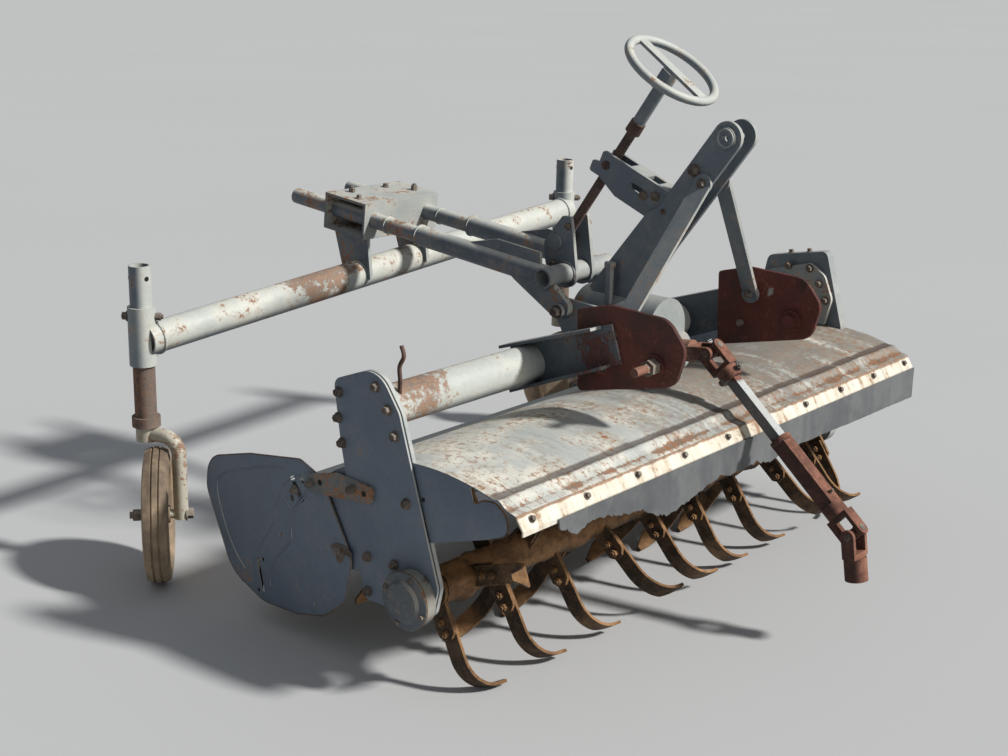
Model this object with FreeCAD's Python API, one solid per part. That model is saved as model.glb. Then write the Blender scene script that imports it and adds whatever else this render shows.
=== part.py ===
import FreeCAD, Part
import os
from math import sin, cos, tan, atan2, radians, degrees, hypot, sqrt

V = FreeCAD.Vector

# Millimetres and degrees. +Z is up, -Y is the tractor's side, -X is the side of the chain drive.
# The machine stands as it parks: on the tips of its tines and on its two gauge wheels, nose up.

# half the hood's length, which the side housings and the rotor follow
hood_half_length = 942.0

# rotor
tip_radius = 280.0
rotor_y = -170.0
rotor_tube_od = 89.0
rotor_end_gap = 22.0
stub_shaft_d = 45.0
station_count = 18
station_inset = 6.0
blade_turn_right = 138.0
blade_turn_left = 218.0
# turn of each station in a group of four, added for blades to +X and taken off for the others
station_turns = (0.0, 8.0, 8.0, -8.0)
# stations near the ends that stand otherwise
end_turns = {0: 17.0, 1: -32.0, 2: 12.0, 17: 72.0}
blade_width = 48.0
blade_thickness = 8.0
blade_foot = 62.0
blade_bend_radius = 92.0
blade_bend_angle = 85.0
blade_tail = 22.0
blade_point = 62.0
blade_tip_width = 12.0
holder_width = 56.0
holder_thickness = 10.0
holder_reach = 128.0
holder_corner = 16.0

# cross beam over the rotor
beam_od = 101.6
beam_rise = 421.0
beam_back = 165.0
beam_flange = 14.0

# chain case on the near side
case_stands_out = 10.0
case_outer_x = -(hood_half_length + case_stands_out)
case_depth = 38.0
case_cover_thickness = 6.0
case_half_width = 109.0
case_top = 93.0
case_foot_front = 82.0
case_foot_back = 174.0
cap_radius = 70.0
cap_length = 50.0
cap_crown = 10.0

# support plate on the far side
far_plate_inset = 30.0
far_plate_x = hood_half_length - far_plate_inset
far_plate_thickness = 8.0
far_rim_depth = 34.0
far_column_radius = 18.0
# far plate above the hood, from the beam's centre: back and up
far_top_rear = (40.0, 108.0)
far_top_front = (-169.0, 149.0)
far_front_low = (-240.0, -85.0)
# bolted flange of the beam on that plate, from the beam's centre: back, up, corner radius
far_flange_points = [(70.0, -84.0, 0), (70.0, 50.0, 30), (-120.0, 106.0, 30), (-175.0, 75.0, 40),
                     (-207.0, 0.0, 40), (-186.0, -84.0, 0)]

# hood
hood_radius = 650.0
hood_centre_y = -215.0
hood_top = 586.0
hood_thickness = 3.0
hood_front_y = -466.0
hood_rear_y = 150.0
lip_drop = 32.0
lip_forward = 22.0
lip_thickness = 4.0
flap_thickness = 4.0
# the flap's torn lower edge: place along X, drop below the flap's top
torn_edge = [(-820, 20), (-754, 54), (-662, 29), (-615, 24), (-499, 64), (-376, 117), (-282, 90),
             (-147, 58), (50, 66), (192, 73), (938, 94)]
end_plate_thickness = 4.0

# rear cover with its two side shields
cover_pivot_y = 178.0
cover_pivot_z = 452.0
shield_thickness = 3.0
shield_gap = 5.5
cover_thickness = 3.0
hinge_pin_d = 12.0

# lower hitch
hitch_half_width = 336.0
hitch_plate_thickness = 12.0
hitch_pin_d = 22.4
hitch_pin_y = -400.0
hitch_pin_z = 745.0
hitch_pin_length = 120.0
arm_web = 8.0
arm_flange = 52.0
arm_height = 128.0
arm_slope = 20.0
arm_length = 262.0
arm_behind = 56.0
arm_web_reach = 34.0

# mast
mast_eye_y = -378.0
mast_eye_z = 1281.0
mast_gap = 56.0
mast_plate_thickness = 12.0
mast_plate_width = 84.0
mast_channel_width = 118.0
top_pin_d = 19.5
brace_width = 50.0
brace_thickness = 10.0
brace_top_back = 60.0
brace_top_drop = 123.0
brace_foot_y = -264.0
brace_foot_z = 799.0

# gearbox and input shaft
gearbox_half_width = 88.0
gearbox_top = 826.0
gearbox_front = 195.0
gearbox_rear = 72.0
input_slope = 8.0
joint_y = -349.0
joint_z = 706.0
input_shaft_d = 38.0

# drive shaft with two cross joints
drive_length = 603.0
drive_angle = 40.6
yoke_ear_in = 24.0
yoke_ear_out = 35.0
yoke_ear_radius = 18.0
yoke_base = 47.0
yoke_base_thickness = 13.0
yoke_hub_radius = 30.0
yoke_hub_length = 34.0
cross_pin_d = 16.0
cross_block = 26.0
inner_bar = 30.0
inner_bar_length = 300.0
outer_length = 216.0
outer_tube = 42.0
end_yoke_length = 72.0

# wheel frame: levers, long tubes, box bracket, rear bar
pivot_y = 62.0
pivot_z = 770.0
pivot_pin_d = 24.0
lever_gap = 62.0
lever_thickness = 12.0
swivel_y = 165.0
swivel_z = 935.0
frame_slope = 5.3
cross_tube_od = 60.3
cross_tube_y = 121.0
cross_tube_z = 851.0
long_tube_x = 115.0
long_tube_od = 60.3
long_tube_thin_od = 48.3
long_tube_length = 1045.0
long_tube_step = 500.0
box_half_length = 160.0
box_depth = 176.0
box_height = 112.0
box_wall = 8.0
box_centre_y = 898.0
bar_od = 88.9
bar_z = 750.0
bar_y = 872.0
bar_tilt = 4.4
near_post_x = -930.0
far_post_x = 905.0
# each sleeve's middle above the bar's end
near_sleeve_rise = 11.0
far_sleeve_rise = -18.0
post_y = 884.0
sleeve_od = 76.1
sleeve_half = 82.0
post_od = 60.3
post_above = 114.0

# gauge wheels
wheel_radius = 190.0
wheel_width = 72.0
wheel_trail = 60.0
wheel_offset = 26.0
wheel_heading = 40.0
groove_depth = 5.0
groove_width = 5.0
rib_width = 13.0
fork_hub_length = 40.0
fork_hub_radius = 30.0
fork_bar_od = 40.0
fork_bend = 48.0
spindle_radius = 16.0
axle_d = 25.0

# screw jack
nut_y = 8.0
nut_z = 1167.0
screw_d = 28.0
screw_sleeve_d = 36.0
screw_above = 300.0
screw_sleeve_length = 185.0
foot_drift = 2.6
hand_wheel_radius = 128.0
hand_wheel_rim = 12.0
rim_faces = 8
bracket_thickness = 10.0
bracket_gap = 36.0

clearance = 0.3
shaft_fit = 0.08
moving_gap = 6.0


def rounded_wire(points, x):
    """closed outline in the plane X = x, each point (y, z, corner radius)"""
    edges = []
    count = len(points)
    corners = []
    for i, (y, z, r) in enumerate(points):
        here = V(x, y, z)
        before = V(x, points[i - 1][0], points[i - 1][1])
        after = V(x, points[(i + 1) % count][0], points[(i + 1) % count][1])
        if r <= 0:
            corners.append((here, None, here))
            continue
        a = (before - here).normalize()
        b = (after - here).normalize()
        half = a.getAngle(b) / 2
        reach = r / tan(half)
        centre = here + (a + b).normalize() * (r / sin(half))
        middle = centre + (here - centre).normalize() * r
        corners.append((here + a * reach, middle, here + b * reach))
    for i, (start, middle, end) in enumerate(corners):
        if middle is not None:
            edges.append(Part.Arc(start, middle, end).toShape())
        following = corners[(i + 1) % count][0]
        if (following - end).Length > 1e-6:
            edges.append(Part.LineSegment(end, following).toShape())
    return Part.Wire(edges)


def slab(points, x0, x1):
    face = Part.Face(rounded_wire(points, x0))
    return face.extrude(V(x1 - x0, 0, 0))


def cyl_x(x0, x1, y, z, radius):
    return Part.makeCylinder(radius, x1 - x0, V(x0, y, z), V(1, 0, 0))


def rod(start, end, radius):
    return Part.makeCylinder(radius, (end - start).Length, start, end - start)


def block(x0, x1, y0, y1, z0, z1):
    return Part.makeBox(x1 - x0, y1 - y0, z1 - z0, V(x0, y0, z0))


def fuse(*shapes):
    return shapes[0].fuse(list(shapes[1:])).removeSplitter()


def turn_x(shape, y, z, angle):
    moved = shape.copy()
    moved.rotate(V(0, y, z), V(1, 0, 0), angle)
    return moved


def mirror_x(shape):
    return shape.mirror(V(0, 0, 0), V(1, 0, 0))


def leaning(y, z, lean):
    """frame whose s axis leans back by the angle; returns (t, s) to (y, z)"""
    across = (cos(radians(lean)), -sin(radians(lean)))
    along = (sin(radians(lean)), cos(radians(lean)))

    def place(t, s, r=0):
        return (y + t * across[0] + s * along[0], z + t * across[1] + s * along[1], r)
    return place


def polygon_face(points):
    return Part.Face(Part.makePolygon(points + points[:1]))


# rotor: a tube with two bolted blades at each station, built round its own axis first
rotor_half_length = -(case_outer_x + case_depth) - rotor_end_gap
first_station_x = station_inset - rotor_half_length


def blade():
    """flat bar on the holder, pointing to +Z and bent over towards +X, its tip cut to a point"""
    half = blade_width / 2
    x0 = holder_thickness / 2
    x1 = x0 + blade_thickness
    bend = radians(blade_bend_angle)
    outer = blade_bend_radius + blade_thickness
    rise = outer * sin(bend) + blade_tail * cos(bend)
    stem_end = sqrt(tip_radius ** 2 - half ** 2) - rise
    section = polygon_face([V(x0, -half, stem_end), V(x1, -half, stem_end),
                            V(x1, half, stem_end), V(x0, half, stem_end)])
    pivot = V(x1 + blade_bend_radius, 0, stem_end)
    arc = section.revolve(pivot, V(0, 1, 0), blade_bend_angle)
    section.rotate(pivot, V(0, 1, 0), blade_bend_angle)
    tail = section.extrude(V(sin(bend), 0, cos(bend)) * blade_tail)
    stem = block(x0, x1, -half, half, blade_foot, stem_end)
    tip_x = pivot.x - blade_bend_radius * cos(bend) + blade_tail * sin(bend) + 1
    wedge = polygon_face([V(tip_x - blade_point, -half - 1, stem_end), V(tip_x, -half - 1, stem_end),
                          V(tip_x, half - blade_tip_width, stem_end)])
    return fuse(stem, arc, tail).cut(wedge.extrude(V(0, 0, rise + 5)))


def blade_holder():
    half = holder_width / 2
    shoulder = holder_reach - holder_corner
    outline = [(-half, 0, 0), (-half, shoulder, 0), (holder_corner - half, holder_reach, 0),
               (half - holder_corner, holder_reach, 0), (half, shoulder, 0), (half, 0, 0)]
    return slab(outline, -holder_thickness / 2, holder_thickness / 2)


def make_rotor():
    """stations in turn with two blades that bend to +X and two that bend to -X"""
    pieces = []
    spacing = -2 * first_station_x / (station_count - 1)
    for station in range(station_count):
        turn = end_turns.get(station, station_turns[station // 2 % 4])
        to_near = station % 2 == 1
        angle = blade_turn_left - turn if to_near else blade_turn_right + turn
        for half_turn in (0, 180):
            piece = fuse(blade_holder(), blade())
            if to_near:
                piece = mirror_x(piece)
            piece.translate(V(first_station_x + station * spacing, 0, 0))
            piece.rotate(V(0, 0, 0), V(1, 0, 0), angle + half_turn)
            pieces.append(piece)
    barrel = cyl_x(-rotor_half_length, rotor_half_length, 0, 0, rotor_tube_od / 2)
    shaft = cyl_x(case_outer_x + 2, far_plate_x + far_plate_thickness - 1, 0, 0, stub_shaft_d / 2)
    return barrel.fuse([shaft] + pieces)


rotor = make_rotor()
axis_height = -min(vertex.Z for vertex in rotor.Vertexes)
rotor.translate(V(0, rotor_y, axis_height))
beam_y = rotor_y + beam_back
beam_z = axis_height + beam_rise
case_lean = degrees(atan2(beam_back, beam_rise))
case_length = hypot(beam_back, beam_rise)
at_case = leaning(rotor_y, axis_height, case_lean)
case_inner_x = case_outer_x + case_depth

parts = {}


def case_outline(grow=0.0):
    return [at_case(case_foot_back + grow, 10 - grow, 18),
            at_case(case_half_width + grow, case_length - 50, 60),
            at_case(case_half_width - 34 + grow, case_length + case_top + grow, 26),
            at_case(-case_half_width + 30 - grow, case_length + case_top + grow, 70),
            at_case(-case_half_width - grow, case_length - 20, 60),
            at_case(-case_foot_front - grow, 10, 30),
            at_case(-30 - grow, -62 - grow, 40)]


shaft_hole = cyl_x(case_outer_x + 1, case_inner_x + 5, rotor_y, axis_height,
                   stub_shaft_d / 2 + shaft_fit)
housing = slab(case_outline(), case_outer_x + case_cover_thickness, case_inner_x)
case_cover = slab(case_outline(3.0), case_outer_x, case_outer_x + case_cover_thickness)


def bearing_cap(x_face, direction):
    """thick round bearing housing with a crowned end"""
    drum_end = x_face + (cap_length - cap_crown) * direction
    drum = cyl_x(min(x_face, drum_end), max(x_face, drum_end), rotor_y, axis_height, cap_radius)
    crown = Part.makeCone(cap_radius - 3, cap_radius - 20, cap_crown,
                          V(drum_end, rotor_y, axis_height), V(direction, 0, 0))
    return fuse(drum, crown)


parts["chain_case"] = fuse(housing, case_cover, bearing_cap(case_outer_x, -1)).cut(shaft_hole)
parts["rotor"] = rotor


def at_beam(place, r=0.0):
    return (beam_y + place[0], beam_z + place[1], r)


# far support plate: same lean as the case, with a folded rim and a rolled column in front
far_outline = [at_case(case_foot_back - 40, 10, 18),
               at_case(case_half_width, case_length - 60, 50),
               at_beam(far_top_rear, 26),
               at_beam(far_top_front, 20),
               at_beam(far_front_low, 40),
               at_case(-case_foot_front, 10, 30),
               at_case(-30, -62, 40)]
far_face = slab(far_outline, far_plate_x, far_plate_x + far_plate_thickness)
far_hole = cyl_x(far_plate_x - 5, far_plate_x + 8, rotor_y, axis_height,
                 stub_shaft_d / 2 + shaft_fit)
rim_lump = slab(far_outline, far_plate_x, far_plate_x + far_rim_depth)
rim_wire = rounded_wire(far_outline, far_plate_x).makeOffset2D(-5)
rim_core = Part.Face(rim_wire).extrude(V(far_rim_depth, 0, 0))
rim_cut = block(far_plate_x - 1, far_plate_x + far_rim_depth + 1, -600, 600, 0, hood_top)
far_rim = rim_lump.cut(rim_core).cut(rim_cut)
far_cap = bearing_cap(far_plate_x + far_plate_thickness, 1)
column_x = far_plate_x + far_column_radius + 0.5
column_top = V(column_x, beam_y + far_top_front[0] + far_column_radius, beam_z + far_top_front[1] - 8)
column_low = V(column_x, beam_y + far_front_low[0] + far_column_radius, beam_z + far_front_low[1])
column = rod(column_low, column_top, far_column_radius).cut(rim_cut)
parts["far_side_plate"] = fuse(far_face, far_rim, far_cap, column).cut(far_hole)

# cross beam in two halves between the gearbox and the two side housings
near_flange = cyl_x(case_inner_x, case_inner_x + beam_flange, beam_y, beam_z, beam_od / 2 + 8)
above_hood = block(far_plate_x - 50, far_plate_x + 50, -600, 600, hood_top + 2, 2000)
far_flange = slab([at_beam((back, up), r) for back, up, r in far_flange_points],
                  far_plate_x - beam_flange, far_plate_x).common(above_hood)
for name, x0, x1, end_flange in (("beam_tube_near", case_inner_x, -gearbox_half_width, near_flange),
                                 ("beam_tube_far", gearbox_half_width, far_plate_x, far_flange)):
    tube = cyl_x(x0, x1, beam_y, beam_z, beam_od / 2)
    inner_x = x1 - beam_flange if x0 < 0 else x0
    gear_flange = cyl_x(inner_x, inner_x + beam_flange, beam_y, beam_z, beam_od / 2 + 32)
    bore = cyl_x(x0 - 1, x1 + 1, beam_y, beam_z, beam_od / 2 - 7)
    parts[name] = fuse(tube, end_flange, gear_flange).cut(bore)

# gearbox: a round-topped cast block with the input neck towards the tractor
neck_dir = V(0, -cos(radians(input_slope)), sin(radians(input_slope)))
joint = V(0, joint_y, joint_z)
gear_bottom = hood_top
gear_top = gearbox_top
gear_lower = block(-gearbox_half_width, gearbox_half_width, beam_y - gearbox_front,
                   beam_y + gearbox_rear, gear_bottom, gear_top - gearbox_half_width)
gear_dome = Part.makeCylinder(gearbox_half_width, gearbox_front + gearbox_rear,
                              V(0, beam_y - gearbox_front, gear_top - gearbox_half_width),
                              V(0, 1, 0))
neck_start = beam_y - gearbox_front
yoke_back = yoke_base + yoke_base_thickness + yoke_hub_length
neck_end = joint - neck_dir * (yoke_back + moving_gap)
neck = rod(joint - neck_dir * (abs(joint_y - neck_start) + 40), neck_end, 52)
parts["gearbox"] = fuse(gear_lower, gear_dome, neck)


def yoke(hub_length, hub_radius, bore=0.0):
    """yoke round the origin, ears along X, hub towards +Z"""
    span = yoke_ear_out
    ears = []
    for sign in (1, -1):
        x0 = sign * yoke_ear_in if sign > 0 else -yoke_ear_out
        x1 = yoke_ear_out if sign > 0 else -yoke_ear_in
        ear = fuse(block(x0, x1, -yoke_ear_radius, yoke_ear_radius, 0, yoke_base + 1),
                   cyl_x(x0, x1, 0, 0, yoke_ear_radius))
        ears.append(ear)
    base = block(-span, span, -yoke_ear_radius, yoke_ear_radius, yoke_base,
                 yoke_base + yoke_base_thickness)
    hub = Part.makeCylinder(hub_radius, hub_length, V(0, 0, yoke_base + yoke_base_thickness))
    body = fuse(base, hub, *ears)
    body = body.cut(cyl_x(-span - 1, span + 1, 0, 0, cross_pin_d / 2 + clearance))
    if bore:
        body = body.cut(Part.makeCylinder(bore / 2, hub_length + 1,
                                          V(0, 0, yoke_base + yoke_base_thickness)))
    return body


def cross():
    """the cross with its four journals, along X and along Y"""
    reach = yoke_ear_out
    half = cross_block / 2
    journals = [cyl_x(-reach, reach, 0, 0, cross_pin_d / 2),
                Part.makeCylinder(cross_pin_d / 2, 2 * reach, V(0, -reach, 0), V(0, 1, 0))]
    return fuse(block(-half, half, -half, half, -half, half), *journals)


def aim(shape, point, direction, quarter=False):
    """turn the shape about X so that its +Z points along a direction in the YZ plane"""
    moved = shape.copy()
    if quarter:
        moved.rotate(V(0, 0, 0), V(0, 0, 1), 90)
    angle = degrees(atan2(-direction.y, direction.z))
    moved.rotate(V(0, 0, 0), V(1, 0, 0), angle)
    moved.translate(point)
    return moved


drive_dir = V(0, -cos(radians(drive_angle)), -sin(radians(drive_angle)))
lower_joint = joint + drive_dir * drive_length
down = V(0, -sin(radians(9.6)), -cos(radians(9.6)))
parts["input_yoke"] = fuse(aim(yoke(yoke_hub_length, yoke_hub_radius), joint, neck_dir * -1),
                           rod(neck_end + neck_dir * (moving_gap + 4), neck_end - neck_dir * 30,
                               input_shaft_d / 2))
parts["gearbox"] = parts["gearbox"].cut(rod(neck_end + neck_dir * 1,
                                            neck_end - neck_dir * 30, input_shaft_d / 2))
parts["cross_upper"] = aim(cross(), joint, drive_dir)
inner_start = yoke_base + yoke_base_thickness + yoke_hub_length
inner_bar_solid = Part.makeBox(inner_bar, inner_bar, inner_bar_length,
                               V(-inner_bar / 2, -inner_bar / 2, inner_start))
parts["drive_inner"] = aim(fuse(yoke(yoke_hub_length, yoke_hub_radius), inner_bar_solid),
                           joint, drive_dir, quarter=True)
outer_box = Part.makeBox(outer_tube, outer_tube, outer_length,
                         V(-outer_tube / 2, -outer_tube / 2, inner_start))
outer_hole = Part.makeBox(inner_bar + 2 * clearance, inner_bar + 2 * clearance,
                          outer_length + 20,
                          V(-inner_bar / 2 - clearance, -inner_bar / 2 - clearance, inner_start))
outer = fuse(yoke(yoke_hub_length, yoke_hub_radius), outer_box).cut(outer_hole)
parts["drive_outer"] = aim(outer, lower_joint, drive_dir * -1, quarter=True)
parts["cross_lower"] = aim(cross(), lower_joint, drive_dir)
parts["end_yoke"] = aim(yoke(end_yoke_length - 10, yoke_hub_radius, 35), lower_joint, down)

# hood: a long sheet rolled to one radius, a folded lip with a bolted strip, and end plates
hood_centre_z = hood_top - hood_radius


def hood_z(y, radius=hood_radius):
    return hood_centre_z + sqrt(radius ** 2 - (y - hood_centre_y) ** 2)


def hood_sheet():
    inner = hood_radius - hood_thickness
    mid_y = hood_centre_y

    def arc(radius, y0, y1):
        return Part.Arc(V(0, y0, hood_z(y0, radius)), V(0, mid_y, hood_z(mid_y, radius)),
                        V(0, y1, hood_z(y1, radius))).toShape()
    y0 = hood_front_y
    y1 = hood_rear_y
    top = arc(hood_radius, y0, y1)
    low = arc(inner, y1, y0)
    rear = Part.LineSegment(V(0, y1, hood_z(y1)), V(0, y1, hood_z(y1, inner))).toShape()
    front = Part.LineSegment(V(0, y0, hood_z(y0, inner)), V(0, y0, hood_z(y0))).toShape()
    face = Part.Face(Part.Wire([top, rear, low, front]))
    sheet = face.extrude(V(2 * hood_half_length, 0, 0))
    sheet.translate(V(-hood_half_length, 0, 0))
    return sheet


case_room = slab(case_outline(1.0), case_outer_x - 20, case_inner_x + 1)
far_room = slab(far_outline, far_plate_x - 1, hood_half_length + 20)
under_hood = cyl_x(-hood_half_length - 5, hood_half_length + 5, hood_centre_y, hood_centre_z,
                   hood_radius - hood_thickness)


def hood_end(x0, x1):
    front = [(hood_front_y + 6, hood_top + 40, 0), (hood_front_y + 6, 505, 30),
             (hood_front_y + 30, 474, 20), (rotor_y - 30, 396, 0), (rotor_y - 30, hood_top + 40, 0)]
    rear = [(hood_rear_y - 30, hood_top, 0), (rotor_y + 80, hood_top, 0),
            (rotor_y + 80, 300, 0), (hood_rear_y - 60, 250, 20), (hood_rear_y + 6, 400, 0)]
    return slab(front, x0, x1).common(under_hood), slab(rear, x0, x1).common(under_hood)


near_ends = hood_end(-hood_half_length, -hood_half_length + end_plate_thickness)
far_ends = hood_end(hood_half_length - end_plate_thickness, hood_half_length)
hood = hood_sheet().fuse(list(near_ends) + list(far_ends))
hood = hood.cut(case_room).cut(far_room)
parts["hood"] = hood.removeSplitter()

strip_top_z = hood_z(hood_front_y)
strip_angle = degrees(atan2(lip_drop, lip_forward))
strip_points = [(hood_front_y, strip_top_z, 0), (hood_front_y - lip_forward, strip_top_z - lip_drop, 0),
                (hood_front_y - lip_forward, strip_top_z - lip_drop - 12, 0),
                (hood_front_y - lip_forward + lip_thickness, strip_top_z - lip_drop - 12, 0),
                (hood_front_y - lip_forward + lip_thickness, strip_top_z - lip_drop - 1, 0),
                (hood_front_y, strip_top_z - 7, 0)]
parts["hood_lip"] = slab(strip_points, -hood_half_length + 2, hood_half_length - 2)
flap_top = strip_top_z - lip_drop - 2
flap_y = hood_front_y - lip_forward - flap_thickness
flap_edge = [(torn_edge[0][0], flap_top)] + [(x, flap_top - drop) for x, drop in torn_edge]
flap_edge.append((hood_half_length - 4, flap_top))
flap_face = polygon_face([V(x, flap_y, z) for x, z in flap_edge])
parts["front_flap"] = flap_face.extrude(V(0, flap_thickness, 0))

# hitch arms: channels round the beam, rising forward, with the rounded plates on their ends
arm_frame = leaning(beam_y, beam_z, arm_slope)


def hitch_arm(side):
    h = arm_height / 2
    f = arm_frame
    back = arm_behind
    front = -arm_length
    reach = front - arm_web_reach
    web_points = [f(back, -h), f(back, h), f(reach, h - 8), f(reach, -h + 16)]
    top_points = [f(back, h - 8), f(back, h), f(front, h - 6), f(front, h - 14)]
    low_points = [f(back, -h), f(back, -h + 8), f(front, -h + 22), f(front, -h + 14)]
    web_x = hitch_half_width
    web = slab(web_points, web_x, web_x + arm_web)
    top = slab(top_points, web_x, web_x + arm_flange)
    low = slab(low_points, web_x, web_x + arm_flange)
    arm = fuse(web, top, low).cut(cyl_x(0, 600, beam_y, beam_z, beam_od / 2))
    return arm if side > 0 else mirror_x(arm)


plate_points = [(-150, 846, 10), (-160, 630, 12), (-462, 702, 50), (-486, 800, 44),
                (-430, 868, 60), (-250, 874, 90)]


def hitch_plate(side):
    x1 = hitch_half_width
    plate = slab(plate_points, x1 - hitch_plate_thickness, x1)
    boss = cyl_x(x1 - hitch_plate_thickness - 10, x1 + 8, hitch_pin_y, hitch_pin_z, 30)
    x0 = hitch_half_width - 30
    pin = cyl_x(x0, x0 + hitch_pin_length, hitch_pin_y, hitch_pin_z, hitch_pin_d / 2)
    head = cyl_x(x0 - 6, x1 - 16, hitch_pin_y, hitch_pin_z, 18)
    plate = fuse(plate, boss, pin, head)
    return plate if side > 0 else mirror_x(plate)


for tag, side in (("near", -1), ("far", 1)):
    parts["hitch_arm_" + tag] = hitch_arm(side)
    parts["hitch_plate_" + tag] = hitch_plate(side)

# mast: two flat bars from the gearbox up to the top link eyes, with a wide plate low down
mast_foot_y = beam_y - 12
mast_foot_z = gear_top - 40
mast_lean = degrees(atan2(mast_eye_y - mast_foot_y, mast_eye_z - mast_foot_z))
mast_length = hypot(mast_eye_y - mast_foot_y, mast_eye_z - mast_foot_z)
at_mast = leaning(mast_foot_y, mast_foot_z, mast_lean)


def mast_plate(side):
    half = mast_plate_width / 2
    wide = mast_channel_width / 2
    points = [at_mast(-wide, 0), at_mast(wide + 10, 0), at_mast(wide, 300), at_mast(half, 330),
              at_mast(half, mast_length + half, half - 1), at_mast(-half, mast_length + half, half - 1),
              at_mast(-half, 240)]
    x0 = mast_gap / 2
    plate = slab(points, x0, x0 + mast_plate_thickness)
    boss = cyl_x(x0, x0 + mast_plate_thickness + 8, mast_eye_y, mast_eye_z, 28)
    plate = fuse(plate, boss).cut(cyl_x(0, 90, mast_eye_y, mast_eye_z, top_pin_d / 2))
    plate = plate.cut(parts["gearbox"])
    return plate if side > 0 else mirror_x(plate)


def brace():
    """flat bar from the mast plate's outer face to the hitch plate's inner face, with round ends"""
    x_top = mast_gap / 2 + mast_plate_thickness
    x_low = hitch_half_width - hitch_plate_thickness
    top = V(x_top + brace_thickness / 2, mast_eye_y + brace_top_back, mast_eye_z - brace_top_drop)
    low = V(x_low - brace_thickness / 2, brace_foot_y, brace_foot_z)
    run = (low - top).normalize()
    across = run.cross(V(1, 0, 0)).normalize()
    normal = across.cross(run)
    corners = [top + across * a + normal * b for a, b in
               ((-brace_width / 2, -brace_thickness / 2), (brace_width / 2, -brace_thickness / 2),
                (brace_width / 2, brace_thickness / 2), (-brace_width / 2, brace_thickness / 2))]
    bar = polygon_face(corners).extrude(low - top)
    top_end = cyl_x(x_top, x_top + brace_thickness, top.y, top.z, brace_width / 2 + 1)
    low_end = cyl_x(x_low - brace_thickness, x_low, low.y, low.z, brace_width / 2 + 1)
    return fuse(bar, top_end, low_end)


for tag, side in (("near", -1), ("far", 1)):
    parts["mast_plate_" + tag] = mast_plate(side)
    parts["mast_brace_" + tag] = brace() if side > 0 else mirror_x(brace())

# breather pipe on the gearbox
breather_x = -62.0
breather_y = -46.0
dome_z = gear_top - gearbox_half_width + sqrt(gearbox_half_width ** 2 - breather_x ** 2)
breather_top = 900.0
breather = fuse(rod(V(breather_x, breather_y, dome_z - 3), V(breather_x, breather_y, breather_top), 11),
                rod(V(breather_x, breather_y, breather_top), V(breather_x, breather_y, breather_top + 12),
                    16))
parts["gearbox"] = fuse(parts["gearbox"], breather)

# crank bracket: two plates behind the mast that hold the jack's nut
bracket_slope = 22.0


def along_bracket(back, up, r=0):
    c = cos(radians(bracket_slope))
    s = sin(radians(bracket_slope))
    return (nut_y + back * c - up * s, nut_z + back * s + up * c, r)


def bracket_plate(side):
    f = along_bracket
    points = [f(-252, -62, 6), f(-60, -62, 10), f(10, -38, 6), f(46, -38, 8), f(46, -6, 6),
              f(24, -2, 4), f(24, 34, 8), f(-230, 34, 6)]
    x0 = bracket_gap / 2
    plate = slab(points, x0, x0 + bracket_thickness)
    slot_a = f(-102, -8)
    slot_b = f(-136, -8)
    for y, z, r in (slot_a, slot_b):
        plate = plate.cut(cyl_x(0, 90, y, z, 9))
    plate = plate.cut(slab([f(-102, -17), f(-102, 1), f(-136, 1), f(-136, -17)], 0, 90))
    plate = plate.cut(cyl_x(0, 90, nut_y, nut_z, 12 + clearance))
    return plate if side > 0 else mirror_x(plate)


spacers = [slab([along_bracket(-70, 22), along_bracket(-70, 34), along_bracket(-130, 34),
                 along_bracket(-130, 22)], -bracket_gap / 2, bracket_gap / 2),
           slab([along_bracket(-170, 18), along_bracket(-170, 34), along_bracket(-200, 34),
                 along_bracket(-200, 18)], -bracket_gap / 2, bracket_gap / 2)]
parts["crank_bracket"] = fuse(bracket_plate(1), bracket_plate(-1), *spacers)

# jack: nut block on trunnions, screw with its hand wheel, and the swivel foot on the levers
screw_run = V(0, swivel_y - nut_y, swivel_z - nut_z)
screw_down = V(0, swivel_y - nut_y, swivel_z - nut_z).normalize()
screw_up = screw_down * -1
nut_point = V(0, nut_y, nut_z)
swivel_point = V(0, swivel_y, swivel_z)
nut_half = bracket_gap / 2 - 0.5


def along_screw(shape, origin):
    moved = shape.copy()
    angle = degrees(atan2(-screw_up.y, screw_up.z))
    moved.rotate(V(0, 0, 0), V(1, 0, 0), angle)
    moved.translate(origin)
    return moved


nut_body = Part.makeBox(2 * nut_half, 40, 46, V(-nut_half, -20, -23))
nut_pins = cyl_x(-bracket_gap / 2 - bracket_thickness - 4, bracket_gap / 2 + bracket_thickness + 4,
                 0, 0, 12)
screw_hole = Part.makeCylinder(screw_d / 2 + clearance, 60, V(0, 0, -30))
parts["jack_nut"] = along_screw(fuse(nut_body, nut_pins).cut(screw_hole), nut_point)

foot_half = lever_gap / 2 - 1
foot_body = fuse(Part.makeBox(2 * foot_half, 36, 40, V(-foot_half, -18, -18)),
                 cyl_x(-foot_half, foot_half, 0, 0, 18))
foot_hole = Part.makeCylinder(screw_d / 2 + clearance, 30, V(0, 0, 6))
pin_room = cyl_x(-60, 60, 0, 0, 11 + foot_drift)
parts["jack_foot"] = along_screw(foot_body.cut(foot_hole).cut(pin_room), swivel_point)

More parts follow.
